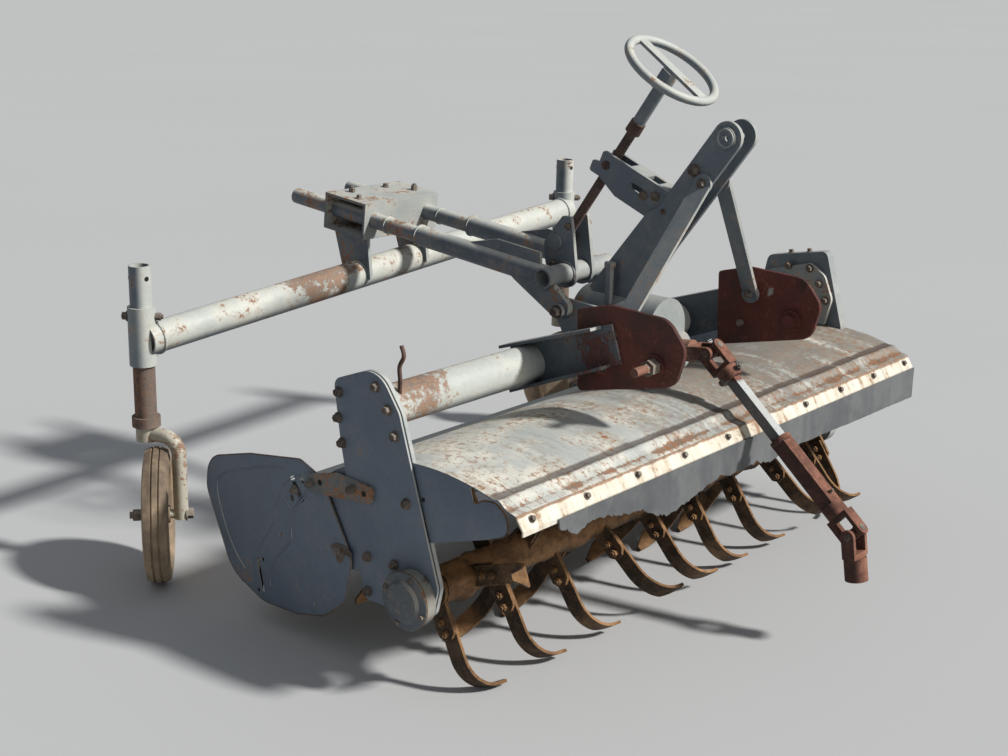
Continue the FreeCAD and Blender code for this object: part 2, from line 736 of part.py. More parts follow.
screw_start = 14.0
screw_total = screw_run.Length + screw_above
screw = Part.makeCylinder(screw_d / 2, screw_total - screw_start, V(0, 0, screw_start))
sleeve = Part.makeCylinder(screw_sleeve_d / 2, screw_sleeve_length,
                           V(0, 0, screw_total - screw_sleeve_length))
hub = Part.makeBox(34, 44, 62, V(-17, -22, screw_total - 34))
rim_points = []
for corner in range(rim_faces):
    angle = radians(360 * (corner + 0.5) / rim_faces)
    rim_points.append(V(hand_wheel_radius + hand_wheel_rim * cos(angle), 0,
                        screw_total + 22 + hand_wheel_rim * sin(angle)))
rim = polygon_face(rim_points).revolve(V(0, 0, 0), V(0, 0, 1), 360)
spoke = Part.makeBox(26, 2 * hand_wheel_radius - 4, 8, V(-13, -hand_wheel_radius + 2, screw_total + 20))
parts["hand_wheel"] = along_screw(fuse(sleeve, hub, rim, spoke, screw), swivel_point)

# pivot brackets from the beam to the wheel frame's pins
lug_half = 12.0
arm_plate = 22.0


def pivot_bracket(side):
    x0 = gearbox_half_width + beam_flange + 1
    points = [(beam_y - 70, beam_z + 30, 0), (beam_y - 40, beam_z - 30, 0), (beam_y + 40, beam_z - 40, 10),
              (pivot_y + 34, pivot_z - 20, 26), (pivot_y + 20, pivot_z + 32, 26),
              (beam_y - 60, pivot_z + 24, 10)]
    plate = slab(points, x0, x0 + lug_half)
    pin = cyl_x(x0, x0 + lug_half + arm_plate + 4, pivot_y, pivot_z, pivot_pin_d / 2)
    head_x = x0 + lug_half + arm_plate + 3
    head = cyl_x(head_x, head_x + 12, pivot_y, pivot_z, 19)
    lug = fuse(plate.cut(cyl_x(0, 300, beam_y, beam_z, beam_od / 2)), pin, head)
    return lug if side > 0 else mirror_x(lug)


for tag, side in (("near", -1), ("far", 1)):
    parts["pivot_bracket_" + tag] = pivot_bracket(side)

# levers, cross tube and long tubes of the wheel frame
frame_dir = V(0, cos(radians(frame_slope)), sin(radians(frame_slope)))
cross_centre = V(0, cross_tube_y, cross_tube_z)


def lever(side):
    x0 = lever_gap / 2
    points = [(110, 1012, 8), (140, 1012, 8), (204, 930, 24), (196, 870, 20), (160, 812, 40),
              (96, 806, 40), (84, 850, 30)]
    plate = slab(points, x0, x0 + lever_thickness)
    boss = cyl_x(x0, x0 + lever_thickness + 6, swivel_y, swivel_z, 24)
    pin = cyl_x(x0 - 16, x0 + lever_thickness + 6, swivel_y, swivel_z, 11)
    piece = fuse(plate, boss, pin)
    return piece if side > 0 else mirror_x(piece)


cross_tube = cyl_x(-long_tube_x - 34, long_tube_x + 34, cross_tube_y, cross_tube_z, cross_tube_od / 2)
cross_bore = cyl_x(-300, 300, cross_tube_y, cross_tube_z, cross_tube_od / 2 - 6)
parts["levers"] = fuse(lever(1), lever(-1), cross_tube).cut(cross_bore)


def long_tube(side):
    x = side * long_tube_x
    start = V(x, cross_tube_y, cross_tube_z)
    step = start + frame_dir * long_tube_step
    end = start + frame_dir * long_tube_length
    tube = fuse(rod(start, step, long_tube_od / 2), rod(step, end, long_tube_thin_od / 2),
                rod(step + frame_dir * 130, step + frame_dir * 134, long_tube_thin_od / 2 + 3),
                rod(step - frame_dir * 4, step, long_tube_od / 2 + 3))
    rise = V(0, -frame_dir.z, frame_dir.y)
    fin_points = [start + frame_dir * a + rise * b
                  for a, b in ((30, 0), (40, 62), (200, 62), (330, 20), (330, 0))]
    fin = slab([(point.y, point.z, 0) for point in fin_points], x - 5, x + 5)
    arm_pts = [(start.y + 150, start.z + 10, 0), (start.y + 110, start.z - 20, 60),
               (pivot_y + 28, pivot_z - 20, 30), (pivot_y - 22, pivot_z - 28, 30),
               (pivot_y - 30, pivot_z + 20, 26), (start.y - 6, start.z, 0)]
    arm_x = gearbox_half_width + beam_flange + 1 + lug_half + 1.5
    arm = slab(arm_pts, arm_x, arm_x + arm_plate)
    if side < 0:
        arm = mirror_x(arm)
    piece = fuse(tube, fin, arm)
    piece = piece.cut(cyl_x(-300, 300, cross_tube_y, cross_tube_z, cross_tube_od / 2))
    return piece.cut(cyl_x(-300, 300, pivot_y, pivot_z, pivot_pin_d / 2 + clearance))


parts["long_tube_near"] = long_tube(-1)
parts["long_tube_far"] = long_tube(1)

# box bracket on the long tubes, with gussets down to the rear bar
box_z = cross_tube_z + (box_centre_y - cross_tube_y) * tan(radians(frame_slope))
box_outer = block(-box_half_length, box_half_length, box_centre_y - box_depth / 2,
                  box_centre_y + box_depth / 2, box_z - box_height / 2, box_z + box_height / 2)
box_inner = block(-box_half_length - 1, box_half_length + 1,
                  box_centre_y - box_depth / 2 + box_wall, box_centre_y + box_depth / 2 - box_wall,
                  box_z - box_height / 2 + box_wall, box_z + box_height / 2 - box_wall)
box_shell = turn_x(box_outer.cut(box_inner), box_centre_y, box_z, frame_slope)


def bar_height(x):
    return bar_z + x * tan(radians(bar_tilt))


saddles = []
for x in (-132, 120):
    foot_z = bar_height(x) - 8
    saddles.append(slab([(box_centre_y - 70, box_z - box_height / 2 + 1, 0),
                         (box_centre_y + 76, box_z - box_height / 2 + 12, 0),
                         (bar_y + bar_od / 2 + 14, foot_z, 0),
                         (bar_y - bar_od / 2 - 14, foot_z, 0)], x, x + 12))
box_part = fuse(box_shell, *saddles)
for side in (-1, 1):
    start = V(side * long_tube_x, cross_tube_y, cross_tube_z)
    box_part = box_part.cut(rod(start, start + frame_dir * long_tube_length, long_tube_thin_od / 2))
bar_start = V(near_post_x, bar_y, bar_height(near_post_x))
bar_end = V(far_post_x, bar_y, bar_height(far_post_x))
bar = rod(bar_start, bar_end, bar_od / 2)
parts["box_bracket"] = box_part.cut(bar)

sleeves = []
holes = []
posts = {"near": (near_post_x, bar_height(near_post_x) + near_sleeve_rise),
         "far": (far_post_x, bar_height(far_post_x) + far_sleeve_rise)}
for x, middle in posts.values():
    low = V(x, post_y, middle - sleeve_half)
    top = V(x, post_y, middle + sleeve_half)
    sleeves.append(rod(low, top, sleeve_od / 2))
    holes.append(rod(low - V(0, 0, 5), top + V(0, 0, 5), post_od / 2 + clearance))
bar_bore = rod(bar_start, bar_end, bar_od / 2 - 6)
parts["rear_bar"] = fuse(bar, *sleeves).cut(bar_bore).cut(Part.makeCompound(holes))


# posts, swivel forks and gauge wheels
hub_top = 2 * wheel_radius + 50.0
fork_low = hub_top - fork_hub_length


def post(x, middle):
    top = middle + sleeve_half + post_above
    pipe = rod(V(x, post_y, hub_top + 26), V(x, post_y, top), post_od / 2)
    pipe = pipe.cut(rod(V(x, post_y, hub_top + 60), V(x, post_y, top + 1), post_od / 2 - 6))
    collar = rod(V(x, post_y, hub_top + 2), V(x, post_y, hub_top + 30), post_od / 2 + 9)
    spindle = rod(V(x, post_y, fork_low + 6), V(x, post_y, hub_top + 10), spindle_radius)
    return fuse(pipe, collar, spindle)


def fork():
    """swivel hub, one bent arm and the axle, drawn with the wheel rolling along Y"""
    arm_x = -(wheel_offset + wheel_width / 2 + moving_gap + fork_bar_od / 2)
    radius = fork_bar_od / 2
    hub = Part.makeCylinder(fork_hub_radius, fork_hub_length, V(0, 0, fork_low))
    bar_top = fork_low + fork_hub_length / 2
    corner = V(arm_x, wheel_trail, bar_top)
    level = V(arm_x, wheel_trail, 0).normalize()
    start = V(0, 0, bar_top) + level * (fork_hub_radius - 10)
    p1 = corner - level * fork_bend
    p2 = corner - V(0, 0, fork_bend)
    profile = Part.Face(Part.Wire(Part.makeCircle(radius, p1, level)))
    elbow = profile.revolve(p1 - V(0, 0, fork_bend), V(0, 0, 1).cross(level), 90)
    arm = fuse(rod(start, p1, radius), elbow,
               rod(p2, V(arm_x, wheel_trail, wheel_radius - axle_d / 2), radius))
    axle = cyl_x(arm_x, wheel_width / 2 - wheel_offset + 10, wheel_trail, wheel_radius, axle_d / 2)
    piece = fuse(hub, arm, axle)
    return piece.cut(Part.makeCylinder(spindle_radius + clearance, 60, V(0, 0, fork_low + 5)))


def gauge_wheel():
    """tyre with a middle rib between two grooves, on a dished disc with a long hub"""
    half = wheel_width / 2
    rib = rib_width / 2
    outer = wheel_radius
    groove = wheel_radius - groove_depth
    hub_r = axle_d / 2 + 12
    side = [(rib, outer), (rib + 1, groove), (rib + groove_width, groove),
            (rib + groove_width + 1, outer - 1), (half - 5, outer - 8), (half, outer - 32),
            (half - 6, outer - 50), (8, outer - 62), (8, hub_r + 4), (half - 4, hub_r),
            (half - 4, axle_d / 2 + clearance)]
    ring = side + [(-x, r) for x, r in reversed(side)]
    points = [V(x - wheel_offset, wheel_trail, wheel_radius + r) for x, r in ring]
    return polygon_face(points).revolve(V(0, wheel_trail, wheel_radius), V(1, 0, 0), 360)


def at_post(shape, far):
    moved = shape.copy()
    moved.rotate(V(0, 0, 0), V(0, 0, 1), 180 - wheel_heading)
    if far:
        moved = mirror_x(moved)
    moved.translate(V(far_post_x if far else near_post_x, post_y, 0))
    return moved


for tag, far in (("near", False), ("far", True)):
    parts["post_" + tag] = post(*posts[tag])
    parts["wheel_fork_" + tag] = at_post(fork(), far)
    parts["gauge_wheel_" + tag] = at_post(gauge_wheel(), far)


# rear cover: two side shields and a curved apron between them, hinged behind the hood
shield_points = [(cover_pivot_y - 20, cover_pivot_z + 22, 20), (228, 500, 30), (420, 468, 160),
                 (590, 420, 70), (600, 330, 60), (505, 120, 110), (380, 68, 110), (250, 74, 90),
                 (150, 100, 60), (72, 160, 60), (44, 284, 60), (140, 452, 16)]


def shield(side):
    x0 = hood_half_length + shield_gap
    plate = slab(shield_points, x0, x0 + shield_thickness)
    plate = plate.cut(cyl_x(x0 - 1, x0 + 9, cover_pivot_y, cover_pivot_z, hinge_pin_d / 2 + shaft_fit))
    return plate if side > 0 else mirror_x(plate)


for tag, side in (("near", -1), ("far", 1)):
    parts["side_shield_" + tag] = shield(side)

apron_in = [(cover_pivot_y, cover_pivot_z), (330, 400), (452, 250), (470, 96)]


def apron():
    a, b, c, d = [V(0, y, z) for y, z in apron_in]
    outer_arc = Part.Arc(a, b, c).toShape()
    line = Part.LineSegment(c, d).toShape()
    wire = Part.Wire([outer_arc, line])
    face = wire.makeOffset2D(cover_thickness, fill=True, openResult=True)
    sheet = face.extrude(V(2 * (hood_half_length + shield_gap), 0, 0))
    sheet.translate(V(-hood_half_length - shield_gap, 0, 0))
    hinge = cyl_x(-hood_half_length - shield_gap, hood_half_length + shield_gap,
                  cover_pivot_y, cover_pivot_z, 10)
    body = sheet.fuse(hinge)
    for end in (-1, 1):
        x = end * (hood_half_length + shield_gap)
        body = body.cut(cyl_x(min(x, x - end * 30), max(x, x - end * 30), cover_pivot_y,
                              cover_pivot_z, hinge_pin_d / 2 + shaft_fit))
    return body


parts["rear_cover"] = apron()


def cover_strap(side):
    x0 = -case_outer_x
    strap = slab([(-40, 494, 12), (-30, 450, 12), (cover_pivot_y + 14, cover_pivot_z - 24, 12),
                  (cover_pivot_y + 20, cover_pivot_z + 20, 12), (90, 500, 30)], x0, x0 + 8)
    pin = cyl_x(x0 - 24, x0 + 8, cover_pivot_y, cover_pivot_z, hinge_pin_d / 2)
    piece = fuse(strap, pin)
    if side > 0:
        boss_y, boss_z = -18, 474
        piece = fuse(piece, cyl_x(far_plate_x + far_plate_thickness, x0 + 1, boss_y, boss_z, 14))
    return piece if side > 0 else mirror_x(piece)


for tag, side in (("near", -1), ("far", 1)):
    parts["cover_strap_" + tag] = cover_strap(side)

# the whole model is set with its middle over the origin and the floor at zero
total = Part.makeCompound(list(parts.values()))
box = total.BoundBox
shift = V(-box.Center.x, -box.Center.y, 0)
for shape in parts.values():
    shape.translate(shift)
os.makedirs("parts", exist_ok=True)
for name, shape in parts.items():
    shape.exportStep("parts/" + name + ".step")
print(len(parts), "nodes", "axis height", round(axis_height, 1))
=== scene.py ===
import bpy
import bmesh
from math import sin, cos, pi, exp, radians, sqrt, hypot
from mathutils import Vector, Matrix, noise


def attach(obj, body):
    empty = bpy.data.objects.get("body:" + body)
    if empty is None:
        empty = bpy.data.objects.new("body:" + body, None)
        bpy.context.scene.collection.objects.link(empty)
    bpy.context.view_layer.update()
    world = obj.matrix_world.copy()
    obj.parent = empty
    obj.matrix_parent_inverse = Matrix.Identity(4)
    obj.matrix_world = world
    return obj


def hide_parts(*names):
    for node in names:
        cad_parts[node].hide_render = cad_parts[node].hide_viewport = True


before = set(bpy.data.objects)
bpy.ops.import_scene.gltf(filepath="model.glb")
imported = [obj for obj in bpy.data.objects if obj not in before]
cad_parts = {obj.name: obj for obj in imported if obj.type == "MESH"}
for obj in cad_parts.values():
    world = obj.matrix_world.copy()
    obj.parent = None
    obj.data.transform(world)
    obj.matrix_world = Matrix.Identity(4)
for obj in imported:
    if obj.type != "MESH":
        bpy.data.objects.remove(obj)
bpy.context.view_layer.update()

# the photo's camera, in the parked frame of the part, metres and degrees
cameraSet = {
    "place": (-3.3177, -2.6051, 1.7674),
    "azimuth": -49.66,
    "elevation": 16.40,
    "roll": 1.37,
    "lens": 54.07,
    "sensor": 36.0,
}


def makeCamera():
    az = radians(cameraSet["azimuth"])
    el = radians(cameraSet["elevation"])
    roll = radians(cameraSet["roll"])
    back = Vector((sin(az) * cos(el), -cos(az) * cos(el), sin(el)))
    right = (-back).cross(Vector((0, 0, 1))).normalized()
    up = right.cross(-back)
    right2 = right * cos(roll) + up * sin(roll)
    up2 = up * cos(roll) - right * sin(roll)
    camData = bpy.data.cameras.new("camera")
    camData.lens = cameraSet["lens"]
    camData.sensor_width = cameraSet["sensor"]
    cam = bpy.data.objects.new("camera", camData)
    bpy.context.scene.collection.objects.link(cam)
    turn = Matrix((right2, up2, back)).transposed().to_4x4()
    cam.matrix_world = Matrix.Translation(cameraSet["place"]) @ turn
    bpy.context.scene.camera = cam


makeCamera()
bpy.context.scene.view_settings.view_transform = "Standard"
print("camera set")


# a socket that can be reckoned with like a number
class Wire:
    def __init__(self, sheet, socket):
        self.sheet = sheet
        self.socket = socket

    def math(self, operation, *others, clamp=False):
        values = {i + 1: other for i, other in enumerate(others)}
        values[0] = self
        return self.sheet.put("ShaderNodeMath", {"operation": operation, "use_clamp": clamp}, values)

    def __add__(self, other):
        return self.math("ADD", other)

    def __radd__(self, other):
        return self.math("ADD", other)

    def __sub__(self, other):
        return self.math("SUBTRACT", other)

    def __rsub__(self, other):
        return self.sheet.put("ShaderNodeMath", {"operation": "SUBTRACT"}, {0: other, 1: self})

    def __mul__(self, other):
        return self.math("MULTIPLY", other)

    def __rmul__(self, other):
        return self.math("MULTIPLY", other)

    def __truediv__(self, other):
        return self.math("DIVIDE", other)

    def size(self):
        return self.math("ABSOLUTE")

    def clip(self):
        return self.math("ADD", 0.0, clamp=True)

    def most(self, other):
        return self.math("MAXIMUM", other)

    def step(self, low, high):  # 0 below low, 1 above high, smooth between
        return self.sheet.put("ShaderNodeMapRange", {"interpolation_type": "SMOOTHSTEP"},
                              {"Value": self, "From Min": low, "From Max": high})


# the direction towards the lamp: faces turned this way get a painted sunlit colour, faces turned away a painted
# shaded one
sunDirection = (0.316, -0.711, 0.628)


# one material's node tree, with the few calls that all the finishes share
class Sheet:
    def __init__(self, name):
        self.mat = bpy.data.materials.new(name)
        self.mat.use_nodes = True
        self.tree = self.mat.node_tree
        self.shader = self.tree.nodes["Principled BSDF"]
        coords = self.tree.nodes.new("ShaderNodeTexCoord")
        self.place = Wire(self, coords.outputs["Object"])
        self.x, self.y, self.z = self.split(self.place)
        geometry = self.tree.nodes.new("ShaderNodeNewGeometry")
        self.face = Wire(self, coords.outputs["Normal"])
        self.flat = Wire(self, geometry.outputs["True Normal"])
        self.topness = self.split(self.face)[2].clip()
        # painted light: 1 on the faces turned to the lamp, 0 on the others, to blend a shaded copy of a colour into
        # a sunlit copy
        self.sunlitSide = self.put("ShaderNodeVectorMath", {"operation": "DOT_PRODUCT"},
                                 {0: self.face, 1: sunDirection}, 1).step(0.02, 0.60)

    def split(self, wire):
        node = self.tree.nodes.new("ShaderNodeSeparateXYZ")
        self.tree.links.new(wire.socket, node.inputs[0])
        return [Wire(self, node.outputs[axis]) for axis in "XYZ"]

    def put(self, kind, settings=None, values=None, output=0):
        node = self.tree.nodes.new(kind)
        for key, value in (settings or {}).items():
            setattr(node, key, value)
        for key, value in (values or {}).items():
            self.feed(node.inputs[key], value)
        return Wire(self, node.outputs[output])

    def feed(self, socket, value):
        if isinstance(value, Wire):
            self.tree.links.new(value.socket, socket)
        elif isinstance(value, tuple) and len(value) == 3 and socket.type == "RGBA":
            socket.default_value = value + (1.0,)
        else:
            socket.default_value = value

    def stretched(self, scale, offset=(0, 0, 0), turn=(0, 0, 0)):
        return self.put("ShaderNodeMapping", None,
                        {"Vector": self.place, "Scale": scale, "Location": offset, "Rotation": turn})

    def noise(self, scale, detail=3.0, rough=0.55, vector=None, twist=0.0):
        return self.put("ShaderNodeTexNoise", None,
                        {"Vector": vector or self.place, "Scale": scale, "Detail": detail,
                         "Roughness": rough, "Distortion": twist})

    def blend(self, low, high, factor):
        node = self.tree.nodes.new("ShaderNodeMix")
        node.data_type = "RGBA"
        self.feed(node.inputs["Factor"], factor)
        self.feed(node.inputs[6], low)
        self.feed(node.inputs[7], high)
        return Wire(self, node.outputs[2])

    def shaded(self, colour, factor):
        return self.put("ShaderNodeVectorMath", {"operation": "SCALE"}, {0: colour, "Scale": factor})

    def rounded(self, radius):  # the surface's direction with its edges eased
        return self.put("ShaderNodeBevel", {"samples": 4}, {"Radius": radius})

    def edges(self, rounded, low=0.02, high=0.16):  # 1 along the edges, 0 on the flats
        same = self.put("ShaderNodeVectorMath", {"operation": "DOT_PRODUCT"}, {0: rounded, 1: self.flat}, 1)
        return (1 - same).step(low, high)

    def bump(self, height, strength, depth, normal=None):
        values = {"Strength": strength, "Distance": depth, "Height": height}
        if normal is not None:
            values["Normal"] = normal
        return self.put("ShaderNodeBump", None, values)

    def finish(self, colour, roughness, metallic=0.0, normal=None):
        self.feed(self.shader.inputs["Base Color"], colour)
        self.feed(self.shader.inputs["Roughness"], roughness)
        self.feed(self.shader.inputs["Metallic"], metallic)
        if normal is not None:
            self.feed(self.shader.inputs["Normal"], normal)
        return self.mat


# floor, backdrop, world and lamps
studioSet = {
    "floorColor": (0.58, 0.575, 0.56),
    "backColor": (0.62, 0.62, 0.61, 1),
    "floorSize": 70,
    "worldColor": (0.84, 0.90, 1.0, 1),
    "worldStrength": 0.26,
    "keyPower": 3.5,
    "keyAngle": 5,
}


def makeStudio():
    bpy.ops.object.select_all(action="DESELECT")
    bpy.ops.mesh.primitive_plane_add(size=studioSet["floorSize"] * 2, location=(0, 0, -0.0005))
    floor = bpy.context.active_object
    floor.name = "floor"
    s = Sheet("floorPaint")
    drift = s.noise(0.35, 3, 0.5)
    tone = (drift - 0.5) * 0.05 + 1.0
    floor.data.materials.append(s.finish(s.shaded(studioSet["floorColor"], tone), 0.92))
    world = bpy.data.worlds.new("world")
    bpy.context.scene.world = world
    world.use_nodes = True
    tree = world.node_tree
    light = tree.nodes["Background"]
    light.inputs["Color"].default_value = studioSet["worldColor"]
    light.inputs["Strength"].default_value = studioSet["worldStrength"]
    seen = tree.nodes.new("ShaderNodeBackground")
    seen.inputs["Color"].default_value = studioSet["backColor"]
    seen.inputs["Strength"].default_value = 1.0
    path = tree.nodes.new("ShaderNodeLightPath")
    mix = tree.nodes.new("ShaderNodeMixShader")
    tree.links.new(path.outputs["Is Camera Ray"], mix.inputs[0])
    tree.links.new(light.outputs[0], mix.inputs[1])
    tree.links.new(seen.outputs[0], mix.inputs[2])
    tree.links.new(mix.outputs[0], tree.nodes["World Output"].inputs[0])
    sun = bpy.data.lights.new("key", "SUN")
    sun.energy = studioSet["keyPower"]
    sun.angle = radians(studioSet["keyAngle"])
    key = bpy.data.objects.new("key", sun)
    key.rotation_euler = Vector(sunDirection).to_track_quat("Z", "Y").to_euler()
    bpy.context.scene.collection.objects.link(key)


makeStudio()
print("studio set")

# paint over steel, in a shaded copy (paint, chalk) and a painted sunlit copy of each colour set: chalky patches,
# chips and freckles of rust, runs, dust and worn edges
paintSet = {
    "frame": {"paint": (0.086, 0.112, 0.138), "chalk": (0.142, 0.168, 0.190), "sunlitPaint": (0.36, 0.38, 0.36),
              "sunlitChalk": (0.55, 0.54, 0.48), "rust": 0.46, "seed": (0, 0, 0)},
    "tube": {"paint": (0.140, 0.170, 0.190), "chalk": (0.240, 0.260, 0.260), "sunlitPaint": (0.56, 0.575, 0.52),
             "sunlitChalk": (0.80, 0.78, 0.67), "rust": 0.54, "seed": (4, 3, 1)},
    "long": {"paint": (0.078, 0.102, 0.128), "chalk": (0.135, 0.160, 0.185), "sunlitPaint": (0.56, 0.575, 0.52),
             "sunlitChalk": (0.80, 0.78, 0.67), "rust": 0.54, "seed": (4, 3, 1)},
    # painted shade: a darker copy of the frame paint for the hitch arms, which lie in the beam's shadow
    "shadedWeb": {"paint": (0.044, 0.060, 0.078), "chalk": (0.080, 0.100, 0.120), "sunlitPaint": (0.36, 0.38, 0.36),
            "sunlitChalk": (0.55, 0.54, 0.48), "rust": 0.46, "seed": (0, 0, 0)},
    "case": {"paint": (0.105, 0.135, 0.175), "chalk": (0.135, 0.165, 0.205), "sunlitPaint": (0.42, 0.44, 0.42),
             "sunlitChalk": (0.62, 0.61, 0.54), "rust": 0.36, "seed": (8, 4, 2)},
    "cap": {"paint": (0.070, 0.086, 0.100), "chalk": (0.120, 0.130, 0.130), "sunlitPaint": (0.30, 0.29, 0.25),
            "sunlitChalk": (0.46, 0.42, 0.34), "rust": 0.56, "seed": (2, 6, 5)},
    "box": {"paint": (0.080, 0.104, 0.128), "chalk": (0.140, 0.160, 0.178), "sunlitPaint": (0.44, 0.46, 0.43),
            "sunlitChalk": (0.66, 0.64, 0.55), "rust": 0.56, "seed": (3, 8, 7)},
    "fork": {"paint": (0.300, 0.270, 0.200), "chalk": (0.400, 0.370, 0.290), "sunlitPaint": (0.55, 0.51, 0.40),
             "sunlitChalk": (0.70, 0.66, 0.54), "rust": 0.60, "seed": (1, 9, 6)},
    "rustDark": (0.068, 0.032, 0.019),
    "rustLight": (0.34, 0.150, 0.062),
    "dust": (0.45, 0.40, 0.32),
}


def oldPaint(name, key, dustLevel=0.16, rustBelow=None, rustPlace=None, rustTone=None):
    look = paintSet[key]
    s = Sheet(name)
    seat = s.stretched((1, 1, 1), look["seed"])
    wide = s.noise(2.4, 4, 0.6, seat)
    mid = s.noise(12, 5, 0.65, seat)
    fine = s.noise(70, 5, 0.7, seat)
    grit = s.noise(330, 2, 0.5, seat)
    runs = s.noise(1.0, 4, 0.6, s.stretched((30, 30, 2.6), look["seed"]))
    soft = s.rounded(0.0022)
    edge = s.edges(soft)
    chalk = (wide * 0.55 + mid * 0.45).step(0.40, 0.62)
    # painted light and shade: the shaded copy on faces turned from the lamp, the sunlit copy on faces turned to it
    colour = s.blend(s.blend(look["paint"], look["chalk"], chalk), s.blend(look["sunlitPaint"], look["sunlitChalk"], chalk),
                     s.sunlitSide)
    colour = s.shaded(colour, (fine - 0.5) * 0.35 + (grit - 0.5) * 0.2 + 1.0)
    level = look["rust"]
    chips = (mid * 0.45 + fine * 0.35 + wide * 0.20).step(0.74 - level * 0.34, 0.76 - level * 0.34)
    freckles = (fine * 0.7 + grit * 0.3).step(0.80 - level * 0.3, 0.86 - level * 0.3) * wide.step(0.42, 0.62)
    streak = (runs * 0.8 + fine * 0.2).step(0.72 - level * 0.2, 0.90 - level * 0.2) * (0.55 + s.topness * 0.2)
    worn = edge * (mid * 0.5 + fine * 0.5).step(0.46, 0.58)
    rust = chips.most(freckles * 0.8).most(streak * 0.8).most(worn)
    if rustBelow is not None:
        line = s.z + (mid - 0.5) * 0.10
        rust = rust.most((rustBelow - line).step(-0.015, 0.02))
    if rustPlace is not None:
        (x, y, z), reach = rustPlace
        away = s.put("ShaderNodeVectorMath", {"operation": "DISTANCE"}, {0: s.place, 1: (x, y, z)}, 1)
        near = 1 - (away / reach).clip()
        rust = rust.most((near * 0.36 + mid * 0.46 + fine * 0.32).step(0.585, 0.66) * 0.95)
    dark, light = rustTone or (paintSet["rustDark"], paintSet["rustLight"])
    tone = s.blend(dark, light, (fine * 0.6 + grit * 0.4).step(0.36, 0.60))
    colour = s.blend(colour, tone, rust * (0.70 + fine * 0.3))
    halo = (mid * 0.45 + fine * 0.35 + wide * 0.20).step(0.68 - level * 0.34, 0.76 - level * 0.34) * 0.35
    colour = s.blend(colour, (0.30, 0.20, 0.12), halo * (1 - rust))
    dust = (mid * 0.5 + grit * 0.5).step(0.46, 0.68) * (dustLevel * 0.5 + s.topness * dustLevel)
    colour = s.blend(colour, paintSet["dust"], dust)
    height = fine * 0.2 + grit * 0.12 - rust * 0.25
    normal = s.bump(height, 0.4, 0.0012, soft)
    return s.finish(colour, 0.50 + 0.34 * rust + 0.12 * chalk, 0.0, normal)


# the hood's cream-grey paint: freckles and brown runs down the slope, a rusty band below the crease and a painted
# shadow line behind it
hoodSet = {
    "paint": (0.55, 0.565, 0.52),
    "chalk": (0.88, 0.835, 0.70),
    "shade": (0.110, 0.140, 0.180),
    "stain": (0.150, 0.105, 0.072),
    "rust": (0.34, 0.145, 0.058),
    "dark": (0.065, 0.040, 0.030),
    "moss": (0.36, 0.34, 0.18),
    "creaseY": -0.5675,
    "lipY": -0.617,
}


def hoodPaint(name):
    s = Sheet(name)
    wide = s.noise(2.2, 4, 0.6)
    mid = s.noise(9, 5, 0.65)
    fine = s.noise(64, 5, 0.7)
    grit = s.noise(340, 2, 0.5)
    slope = s.noise(1.0, 5, 0.65, s.stretched((17, 3.2, 3.2), (3, 1, 2)))
    hairs = s.noise(1.0, 4, 0.7, s.stretched((130, 26, 26), (1, 5, 2), (0, 0, 0.5)))
    soft = s.rounded(0.002)
    edge = s.edges(soft)
    colour = s.blend(hoodSet["paint"], hoodSet["chalk"], (wide * 0.5 + mid * 0.5).step(0.40, 0.60))
    colour = s.shaded(colour, (fine - 0.5) * 0.5 + (grit - 0.5) * 0.3 + 1.0)
    far = s.x.step(-0.70, 0.35)
    stain = (slope * 0.50 + mid * 0.20 + fine * 0.30).step(0.49 - far * 0.135, 0.60 - far * 0.095)
    colour = s.blend(colour, hoodSet["stain"], stain * (0.32 + far * 0.40))
    pitted = (fine * 0.55 + grit * 0.45).step(0.545, 0.60) * (mid * 0.5 + wide * 0.5).step(0.42, 0.54)
    colour = s.blend(colour, s.blend(hoodSet["stain"], hoodSet["rust"], mid.step(0.44, 0.56)), pitted * 0.75)
    colour = s.blend(colour, hoodSet["moss"], (wide.step(0.52, 0.66)) * s.y.step(-0.36, -0.22) * 0.45)
    freckle = (hairs * 0.5 + fine * 0.5).step(0.515, 0.58) * (wide * 0.6 + mid * 0.4).step(0.38, 0.56)
    colour = s.blend(colour, hoodSet["rust"], freckle * 0.72)
    # painted shadow: a dark line along the side of the crease turned from the lamp
    above = 1 - ((s.y - hoodSet["creaseY"] - 0.014).size() / 0.030).clip()
    creaseShadow = (above * 0.95 + slope * 0.45 + mid * 0.35).step(0.80, 1.06)
    colour = s.blend(colour, hoodSet["dark"], creaseShadow * 0.72)
    below = 1 - ((s.y - hoodSet["creaseY"] + 0.030).size() / 0.034).clip()
    band = (below * 0.34 + mid * 0.62 + slope * 0.28 + fine * 0.25).step(0.82, 0.90)
    colour = s.blend(colour, s.blend(hoodSet["stain"], hoodSet["rust"], fine.step(0.40, 0.60)), band * 0.85)
    chips = (mid * 0.5 + fine * 0.35 + slope * 0.15).step(0.605, 0.63)
    rust = chips.most(edge * fine.step(0.40, 0.52)).most(band)
    colour = s.blend(colour, s.blend(hoodSet["dark"], hoodSet["rust"], fine.step(0.38, 0.58)),
                     chips.most(edge * fine.step(0.40, 0.52)) * 0.85)
    # painted shade: faces turned along X, the sheet's ends, take the dark shaded colour of the end plates
    ends = s.split(s.face)[0].size().step(0.6, 0.9)
    ended = s.blend(hoodSet["shade"], hoodSet["stain"], (fine * 0.5 + mid * 0.5).step(0.56, 0.66) * 0.7)
    colour = s.blend(colour, s.shaded(ended, (fine - 0.5) * 0.4 + 1.0), ends)
    height = fine * 0.22 + grit * 0.10 + mid * 0.8 - rust * 0.25
    normal = s.bump(height, 0.35, 0.0016, soft)
    return s.finish(colour, 0.48 + 0.30 * rust + 0.16 * stain, 0.0, normal)


